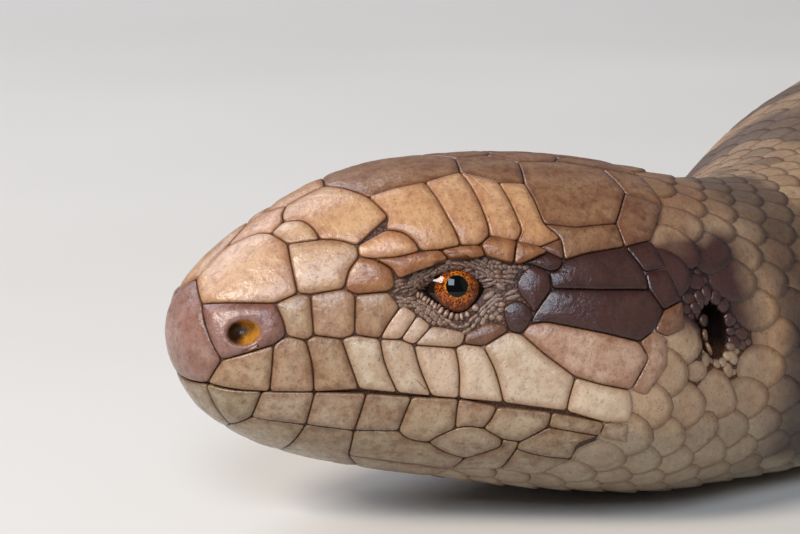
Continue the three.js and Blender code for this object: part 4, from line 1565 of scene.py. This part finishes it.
# The top of the back above the floor at distances along the spine, in mm
BACK_TOPS = (
    (0, 22), (6, 30.6), (15, 35.6), (30, 38.7), (48, 37.6), (60, 34.9), (70, 33.6), (100, 36.8),
    (130, 40), (175, 41.5), (220, 40), (250, 36), (270, 31.5), (286, 27), (310, 22.6),
    (350, 17.2), (400, 10.8), (440, 5.8), (462, 2),
)


def body_sleeve():
    at = np.arange(int(BODY_LENGTH) + 1)
    tops = np.interp(at, *zip(*BACK_TOPS))
    centres = from_spine(at, np.zeros(len(at)), tops * 0.46)
    h = heading(at)
    backs = np.stack([np.cos(h), np.sin(h), np.zeros(len(at))], 1)
    ups = np.repeat([[0.0, 0.0, 1.0]], len(at), 0)
    reaches = np.full(len(at), 60.0)
    over = (surface_of("skin"), 66)
    return Sleeve(surface_of("body_form"), centres, backs, ups, reaches, over=over)


def ear_distance(place):
    """Distance from the ear's middle, as a share of its half width or height."""
    back, _, up = world_to_head(place)
    return math.hypot((back - EAR_PLACE[0]) / EAR_HALF[0], (up - EAR_PLACE[2]) / EAR_HALF[1])


# Each piece of the body's coat, with its ends along the spine and the sides of its scales
BODY_PIECES = (
    ("neck_scales", 27, 92, 18), ("trunk_front_scales", 92, 156, 16),
    ("trunk_middle_scales", 156, 222, 16), ("trunk_rear_scales", 222, 288, 16),
    ("tail_base_scales", 288, 352, 14), ("tail_tip_scales", 352, 461, 12),
)


class SKINK_OT_body_scales(Operator):
    """Lays overlapping scales from the nape and throat to the tip of the tail"""

    bl_idname = "skink.body_scales"
    bl_label = "Body scales"

    def execute(self, context):
        colours = context.scene.skink_colours
        midbody = context.scene.skink_coat.columns
        sleeve = body_sleeve()
        trees = [surface_of(name).tree for name in HEAD_SHIELDS]
        material = keratin_scales("smooth keratin scale", 0.35, 0.36)

        def count_at(at):
            return round(np.interp(at, (286, 300, 350, 400, 450), (midbody, 26, 18, 12, 8)) / 2)

        def colour(at, share, luck, points):
            body = body_pigment(colours, at, np.abs((share + 0.5) % 1 - 0.5), luck)
            head = head_pigment(colours, world_to_head(points), luck)
            return blended((None, body), (smooth((64 - at) / 6), head))

        def uncovered(base, normal, y, along, share):
            if along >= 66:
                return True
            centre = base[-1]
            back = world_to_head(centre)[0]
            if along < 60 and back < 40 and not (abs(share) > 0.33 and back >= 26):
                return False
            if min(ear_distance(p) for p in base) < 1.02:
                return False
            seen = np.flatnonzero(y > 0.3)
            free = sum(open_at(trees, base[i], normal[i], 0.05) for i in seen)
            return free > 0.6 * len(seen)

        rings = ring_plan(sleeve, 27, 460, count_at)
        style = dict(
            BODY_STYLE, colour=colour,
            unwrap=lambda at, share: np.array([0.01 + at / 480, share * 0.97 + 0.5]),
        )
        for name, start, end, sides in BODY_PIECES:
            coat = Coat()
            part = [ring for ring in rings if start <= ring[0] < end]
            lay_rings(coat, sleeve, scale_template(sides, (0.07, 0.24)), part, style, uncovered)
            settle(coat.to_object(name, material))
        return {"FINISHED"}


FILLER_SIZES = (1.3, 1.05, 0.8, 0.6, 0.42)  # radii in mm of small scales, laid in this order
# Small scales round the ear, ring by ring: distance from its middle as a share of its half
# width and height, number, half length and half width
EAR_RINGS = ((1.14, 15, 0.62, 0.56), (1.5, 14, 0.9, 0.72))
# Lobes over the ear's front edge, each from its root there: back, up, length
EAR_LOBULES = ((-2.2, 1.5, 2.0), (-2.4, -0.1, 2.3), (-2.2, -1.7, 2.0))


class SKINK_OT_small_scales(Operator):
    """Fills the skin between shields and neck scales with small scales, and lays the ear's lobes"""

    bl_idname = "skink.small_scales"
    bl_label = "Small scales"

    def execute(self, context):
        colours = context.scene.skink_colours
        surface = surface_of("head_form")
        names = [*HEAD_SHIELDS, "neck_scales"]
        trees = [surface_of(name).tree for name in names]
        ball = bead_template(10, 6)
        ball[0][:, 2] = np.sign(ball[0][:, 2]) * np.abs(ball[0][:, 2]) ** 0.55
        random = np.random.RandomState(9)
        head = world_to_head(surface.points)
        band = (head[:, 0] > 37) & (head[:, 0] < 61) & (np.abs(head[:, 1]) > 8)
        band &= (head[:, 2] < 17) & (head[:, 2] > -16)
        choices = np.flatnonzero(band)
        coat, grid = Coat(), {}
        for side in (1, -1):
            for ring, (away, count, half_long, half_wide) in enumerate(EAR_RINGS):
                for turn in (np.arange(count) + 0.5 * ring) * math.tau / count:
                    radial = np.array([np.cos(turn) * EAR_HALF[0], 0, np.sin(turn) * EAR_HALF[1]])
                    start = np.array(EAR_PLACE) * [1, side, 1] + radial * away
                    places, normals = surface.snap(head_to_world(start[None]))
                    place, normal = places[0], normals[0]
                    if not open_at(trees, place, normal, half_wide * 0.5):
                        continue
                    cell = tuple((place // 2.6).astype(int))
                    grid.setdefault(cell, []).append((place, half_wide))
                    shade = head_pigment(
                        colours, world_to_head(place[None]), random.uniform(-1, 1, 1)
                    )[0]
                    lay_bead(
                        coat, ball, place, normal, radial @ HEAD_AXES,
                        (half_long, half_wide, 0.3), shade * 0.9,
                    )
        for radius in FILLER_SIZES:
            for index in random.permutation(choices):
                place, normal = surface.points[index], surface.normals[index]
                eye = np.abs(world_to_head(place)) * [1, 1, 1] - EYE_CENTRE
                if np.linalg.norm(eye) < EYE_RADIUS + 4.2 or ear_distance(place) < 1.05:
                    continue
                cell = tuple((place // 2.6).astype(int))
                near = [
                    q for dx in (-1, 0, 1) for dy in (-1, 0, 1) for dz in (-1, 0, 1)
                    for q in grid.get((cell[0] + dx, cell[1] + dy, cell[2] + dz), ())
                ]
                if any(np.linalg.norm(place - p) < (radius + r) * 0.86 for p, r in near):
                    continue
                if not open_at(trees, place, normal, radius * 0.8):
                    continue
                grid.setdefault(cell, []).append((place, radius))
                luck = random.uniform(-1, 1, 1)
                shade = head_pigment(colours, world_to_head(place[None]), luck)[0]
                lay_bead(
                    coat, ball, place - normal * 0.1, normal, HEAD_AXES[0],
                    (radius * 1.3, radius * 0.95, 0.12 + 0.13 * radius), shade,
                )
        for side in (1, -1):
            for back, up, length in EAR_LOBULES:
                start = np.array([EAR_PLACE[0] + back, EAR_PLACE[1] * side, EAR_PLACE[2] + up])
                place, normal = surface.snap(head_to_world(start[None]))
                shade = head_pigment(colours, world_to_head(place), np.zeros(1))[0]
                lay_bead(
                    coat, ball, place[0] + HEAD_AXES[0] * 0.9, normal[0], HEAD_AXES[0],
                    (length * 0.5, 0.72, 0.3), shade * 0.85,
                )
        fillers = coat.to_object("small_head_scales", keratin_scales("small scale", 0.4, 0.36))
        settle(fillers)
        return {"FINISHED"}


# Legs, toes and claws

# Each leg: distance along the spine, out and up, and radius, at its root, its bend and its wrist
# or ankle; the turn of its foot; the length of its sole and of its toes, in mm and degrees
ARM = {
    "names": ("arm", "hand"),
    "root": (103, 19, 13, 7.4), "bend": (112, 39, 10.5, 5.6), "wrist": (97, 49, 4.8, 3.7),
    "turn": 22, "sole": 6.4, "toes": (5.2, 7.4, 8.8, 8.6, 6.0),
}
LEG = {
    "names": ("leg", "foot"),
    "root": (268, 12, 12.5, 8.6), "bend": (252, 35, 10.5, 6.4), "wrist": (268, 46, 5.0, 4.0),
    "turn": 48, "sole": 7.0, "toes": (5.4, 7.8, 9.6, 10.0, 6.6),
}
TOE_SPREAD = 21.0
TOE_GAP = 2.3
PATH_STEP = 0.5

LIMB_STYLE = {
    "wide": 0.88, "long": 1.5, "root": -0.28, "stand": 0.3, "bow": 0.12, "thick": 0.2,
    "edge": 0.22, "seed": 11,
}
TOE_STYLE = {
    "wide": 0.95, "long": 1.45, "root": -0.16, "stand": 0.2, "bow": 0.12, "thick": 0.14,
    "edge": 0.15, "seed": 13,
}


FOOT_SCALE = (0.86, 0.66, 0.24)  # half length, half width and height on the back of a foot
ROOT_SCALE = (1.3, 1.0, 0.34)  # and where a leg leaves the trunk, as far as this from its root
ROOT_REACH = 28.0


def turned(direction, degrees):
    angle = math.radians(degrees)
    c, s = math.cos(angle), math.sin(angle)
    x, y, z = direction
    return np.array([c * x - s * y, s * x + c * y, z])


def limb_path(limb, side):
    """The leg's axis from its root to its sole, with its radii, and the foot's axes."""
    points, radii = [], []
    for name in ("root", "bend", "wrist"):
        at, out, up, radius = limb[name]
        points.append(from_spine(at, side * out, up))
        radii.append(radius)
    h = heading(limb["wrist"][0])
    forward = turned(-np.array([math.cos(h), math.sin(h), 0.0]), limb["turn"] * side)
    across = np.cross(forward, [0, 0, 1.0]) * -side
    palm = points[-1] + forward * limb["sole"]
    palm[2] = 2.1
    points.append(palm)
    radii.append(5.0)
    return np.array(points), np.array(radii), forward, across


def toe_path(limb, side, toe):
    points, _, forward, across = limb_path(limb, side)
    direction = turned(forward, (toe - 2) * TOE_SPREAD * side)
    thick = 1.4 if toe in (0, 4) else 1.6
    start = points[-1] + across * (toe - 2) * TOE_GAP + forward * (3.6 - abs(toe - 2) * 1.2)
    length = limb["toes"][toe]
    path, radii = [], []
    for share, height in ((-0.4, 1.2), (0, 1.35), (0.5, 1.3), (1, 0.9)):
        place = start + direction * length * share
        place[2] = height * thick
        path.append(place)
        radii.append(thick * (1.1 - 0.3 * max(share, 0)))
    return np.array(path), np.array(radii), direction


def path_sleeve(surface, points, reaches, easing):
    """A sleeve along a bent path, eased over its bends by a length in mm."""
    lengths = np.concatenate([[0], np.cumsum(np.linalg.norm(np.diff(points, axis=0), axis=1))])
    want = np.arange(0, lengths[-1], PATH_STEP)
    centres = np.stack([np.interp(want, lengths, points[:, k]) for k in range(3)], 1)
    half = int(easing / PATH_STEP / 2)
    if half:
        padded = np.pad(centres, ((half, half), (0, 0)), mode="reflect", reflect_type="odd")
        box = np.ones(2 * half + 1) / (2 * half + 1)
        centres = np.stack([np.convolve(padded[:, k], box, "valid") for k in range(3)], 1)
    backs = unit(np.gradient(centres, axis=0))
    ups = np.array([0, 0, 1.0]) - backs * backs[:, 2:]
    reach = np.interp(want, lengths, reaches)
    return Sleeve(surface, centres, backs, unit(ups), reach, PATH_STEP, 48), lengths


class SKINK_OT_limb_scales(Operator):
    """Lays the scales of the legs, soles and toes"""

    bl_idname = "skink.limb_scales"
    bl_label = "Leg and toe scales"

    def execute(self, context):
        colours = context.scene.skink_colours
        surface = surface_of("skin")
        trees = [surface_of(piece[0]).tree for piece in BODY_PIECES[:4]]
        material = keratin_scales("leg scale", 0.35, 0.38)
        limb_scale, toe_scale = scale_template(12, (0.08, 0.24)), scale_template(10, (0.12,))
        for limb in (ARM, LEG):
            for word, side in (("left", 1), ("right", -1)):
                coat = Coat()

                def colour(at, share, luck, base):
                    under = smooth((np.abs((share + 0.5) % 1 - 0.5) - 0.33) / 0.08)
                    ground = np.repeat([colours.leg], len(luck), 0) * (1 + 0.25 * luck[:, None])
                    fleck = smooth((luck - 0.45) / 0.1) * 0.6
                    pale = np.array(colours.belly) * 0.85
                    return blended((None, ground), (fleck, colours.flank), (under, pale))

                points, radii, _, _ = limb_path(limb, side)
                reaches = radii * (1.9, 1.45, 1.5, 1.5) + 0.6
                sleeve, lengths = path_sleeve(surface, points, reaches, 7.0)
                marks = lengths / PATH_STEP
                counts = np.array([11, 9, 9, 15])
                rings = ring_plan(
                    sleeve, marks[1] * 0.1, sleeve.steps - 1,
                    lambda at: round(np.interp(at, marks, counts)), 0.6,
                )
                style = dict(
                    LIMB_STYLE, colour=colour, over=surface,
                    unwrap=lambda at, share: np.array([0.01 + at / 260, 0.02 + (share + 0.5) * 0.9]),
                )

                def uncovered(base, normal, y, along, share):
                    if along > marks[1] * 0.6:
                        return True
                    seen = np.flatnonzero(y > 0.3)
                    free = sum(open_at(trees, base[i], normal[i], 0.02) for i in seen)
                    return free > 0.6 * len(seen)

                lay_rings(coat, sleeve, limb_scale, rings, style, uncovered)
                for toe in range(5):
                    points, radii, _ = toe_path(limb, side, toe)
                    sleeve, lengths = path_sleeve(surface, points, radii * 1.4 + 0.6, 2.0)
                    start = max(lengths[1] / PATH_STEP - 3, 1)
                    rings = ring_plan(sleeve, start, sleeve.steps - 1, lambda at: 4, 0.62)
                    style = dict(
                        TOE_STYLE, colour=colour,
                        unwrap=lambda at, share, toe=toe: np.array(
                            [0.6 + at / 130, 0.02 + toe * 0.19 + (share + 0.5) * 0.17]
                        ),
                    )
                    lay_rings(coat, sleeve, toe_scale, rings, style)
                name = f"{limb['names'][0]}_scales_{word}"
                settle(coat.to_object(name, material))
        self.cover_bare_skin(colours, surface, material)
        return {"FINISHED"}

    def cover_bare_skin(self, colours, surface, material):
        """Lays small scales on the backs of the feet, and where the legs leave the trunk."""
        ball = bead_template(10, 6)
        random = np.random.RandomState(21)
        coat, cell = Coat(), 0
        trunk = [surface_of(piece[0]).tree for piece in BODY_PIECES[:5]]
        for limb in (ARM, LEG):
            for word, side in (("left", 1), ("right", -1)):
                leg = surface_of(f"{limb['names'][0]}_scales_{word}").tree
                path, _, forward, across = limb_path(limb, side)
                flat = np.array([forward, across]).T
                above = surface.normals[:, 2] > 0.1
                sole = np.linalg.norm((surface.points - path[-1])[:, :2], axis=1)
                root = np.linalg.norm(surface.points - path[0], axis=1)
                zones = (
                    ((sole < limb["sole"] + 3) & above, path[-1], [leg], FOOT_SCALE, forward, 0.8),
                    (root < ROOT_REACH, path[0], [leg, *trunk], ROOT_SCALE, path[1] - path[0], 0.4),
                )
                for near, middle, trees, halves, along, high in zones:
                    tries = surface.points[np.repeat(np.flatnonzero(near), 8)]
                    tries = tries + random.uniform(-0.8, 0.8, tries.shape)
                    places, normals = surface.snap(tries)
                    laid = np.zeros((0, 3))
                    for index in random.permutation(len(places)):
                        place, normal = places[index], normals[index]
                        if (np.linalg.norm(laid - place, axis=1) < halves[0] * 1.05).any():
                            continue
                        if not open_at(trees, place, normal, 0.12):
                            continue
                        laid = np.vstack([laid, place])
                        shade = np.array(colours.leg) * (1 + 0.25 * random.uniform(-1, 1))
                        where = (place - middle) @ flat / 220 + [0.125 + 0.25 * cell, high]
                        lay_bead(coat, ball, place, normal, along, halves, shade, where)
                cell += 1
        settle(coat.to_object("foot_scales", material))


class SKINK_OT_claws(Operator):
    """Rounds the claws and sets their roots into the toes"""

    bl_idname = "skink.claws"
    bl_label = "Claws"

    def execute(self, context):
        material = claw_horn()
        for limb in (ARM, LEG):
            for word, side in (("left", 1), ("right", -1)):
                for toe in range(5):
                    node = f"claw_{limb['names'][1]}_{word}_{toe + 1}"
                    claw = joined_copy([node], f"{node}_horn")
                    _, _, direction = toe_path(limb, side, toe)
                    points = points_of(claw)
                    ahead = points @ direction
                    share = (ahead - ahead.min()) / (ahead.max() - ahead.min())
                    points = points - direction * (0.9 * smooth((0.3 - share) / 0.3))[:, None]
                    set_points(claw, points)
                    apply_modifier(claw, "SUBSURF", levels=2, render_levels=2)
                    apply_modifier(claw, "DISPLACE", strength=0.08 * MM, mid_level=0.0)
                    points = points_of(claw)
                    points[:, 2] = np.maximum(points[:, 2], 0.02)
                    set_points(claw, points)
                    claw.data.polygons.foreach_set(
                        "use_smooth", np.ones(len(claw.data.polygons), bool)
                    )
                    claw.data.materials.append(material)
                    settle(claw, [node])
        return {"FINISHED"}


# Stage

# The photo's view of the head: turned towards the camera from side-on, seen a little from above
VIEW_YAW = 24.0
VIEW_RISE = 12.0
VIEW_DISTANCE = 333.0
VIEW_POINT = (25.5, 10.0, 8.0)
VIEW_WIDTH = 84.9
VIEW_OFFSET = (-3.05, 3.75)


def view_axes():
    yaw, rise = math.radians(VIEW_YAW), math.radians(VIEW_RISE)
    flat = -HEAD_AXES[0] * math.sin(yaw) + HEAD_AXES[1] * math.cos(yaw)
    towards = flat * math.cos(rise) + np.array([0, 0, math.sin(rise)])
    right = unit(np.cross([0, 0, 1.0], towards))
    return towards, right, np.cross(towards, right)


# Lights: direction from the head along the view's right, its up and towards the camera,
# distance in m, width and height in m, power in W and colour
LIGHTS = (
    ("key", (-0.60, 0.50, 0.62), 1.5, (0.5, 0.5), 24.0, "#fff6ec"),
    ("window", (-0.10, 0.42, 0.90), 1.5, (0.5, 0.6), 13.0, "#d6e9ff"),
    ("sky", (-0.55, 0.75, -0.35), 1.5, (1.3, 0.9), 13.0, "#e6efff"),
    ("fill", (0.85, 0.25, 0.45), 1.5, (1.5, 1.5), 1.8, "#fff2e6"),
)


class SKINK_OT_stage(Operator):
    """Sets up the camera, the soft lights and the pale floor"""

    bl_idname = "skink.stage"
    bl_label = "Stage"

    def execute(self, context):
        towards, right, upwards = view_axes()
        point = head_to_world(VIEW_POINT)
        aim = (point + right * VIEW_OFFSET[0] + upwards * VIEW_OFFSET[1]) * MM
        place = Vector((point + towards * VIEW_DISTANCE) * MM)
        data = bpy.data.cameras.new("camera")
        data.sensor_width = 36.0
        data.lens = 36.0 * VIEW_DISTANCE / VIEW_WIDTH
        data.clip_start = 0.01
        camera = bpy.data.objects.new("camera", data)
        context.scene.collection.objects.link(camera)
        camera.location = place
        camera.rotation_euler = (Vector(aim) - place).to_track_quat("-Z", "Y").to_euler()
        context.scene.camera = camera

        deselect()
        bpy.ops.mesh.primitive_circle_add(vertices=96, radius=4.0, fill_type="NGON")
        floor = context.object
        floor.name = floor.data.name = "floor"
        floor.data.materials.append(matt_board())

        head = point * MM
        for name, direction, distance, size, power, colour in LIGHTS:
            offset = unit(np.array(direction) @ [right, upwards, towards]) * distance
            data = bpy.data.lights.new(name, "AREA")
            data.shape = "RECTANGLE"
            data.size, data.size_y = size
            data.energy = power
            data.color = linear(colour)
            light = bpy.data.objects.new(name, data)
            context.scene.collection.objects.link(light)
            light.location = head + offset
            light.visible_camera = False
            light.rotation_euler = Vector(-offset).to_track_quat("-Z", "Y").to_euler()
        world = context.scene.world or bpy.data.worlds.new("studio")
        context.scene.world = world
        world.use_nodes = True
        background = world.node_tree.nodes["Background"]
        background.inputs["Color"].default_value = (*linear("#e8eeff"), 1.0)
        background.inputs["Strength"].default_value = 0.2
        context.scene.view_settings.view_transform = "Standard"
        return {"FINISHED"}


class SKINK_PT_panel(Panel):
    """Lists the skink's pieces in the sidebar"""

    bl_label = "Skink"
    bl_idname = "SKINK_PT_panel"
    bl_space_type = "VIEW_3D"
    bl_region_type = "UI"
    bl_category = "Skink"

    def draw(self, context):
        for group in (context.scene.skink_coat, context.scene.skink_colours):
            for key in group.bl_rna.properties.keys()[2:]:
                self.layout.prop(group, key)
        for operator in STEPS:
            self.layout.operator(operator.bl_idname)


STEPS = (
    SKINK_OT_stage, SKINK_OT_skin, SKINK_OT_head_shields, SKINK_OT_eyes, SKINK_OT_eyelids,
    SKINK_OT_body_scales, SKINK_OT_small_scales, SKINK_OT_limb_scales, SKINK_OT_claws,
)
CLASSES = (SkinkColours, SkinkCoat, *STEPS, SKINK_PT_panel)


def register():
    for cls in CLASSES:
        bpy.utils.register_class(cls)
    bpy.types.Scene.skink_colours = PointerProperty(type=SkinkColours)
    bpy.types.Scene.skink_coat = PointerProperty(type=SkinkCoat)


def unregister():
    del bpy.types.Scene.skink_coat
    del bpy.types.Scene.skink_colours
    for cls in reversed(CLASSES):
        bpy.utils.unregister_class(cls)


def main():
    register()
    for step in STEPS:
        group, name = step.bl_idname.split(".")
        getattr(getattr(bpy.ops, group), name)()
    for name in ("head_form", "body_form"):
        bpy.data.objects.remove(bpy.data.objects[name])


if __name__ == "__main__":
    main()
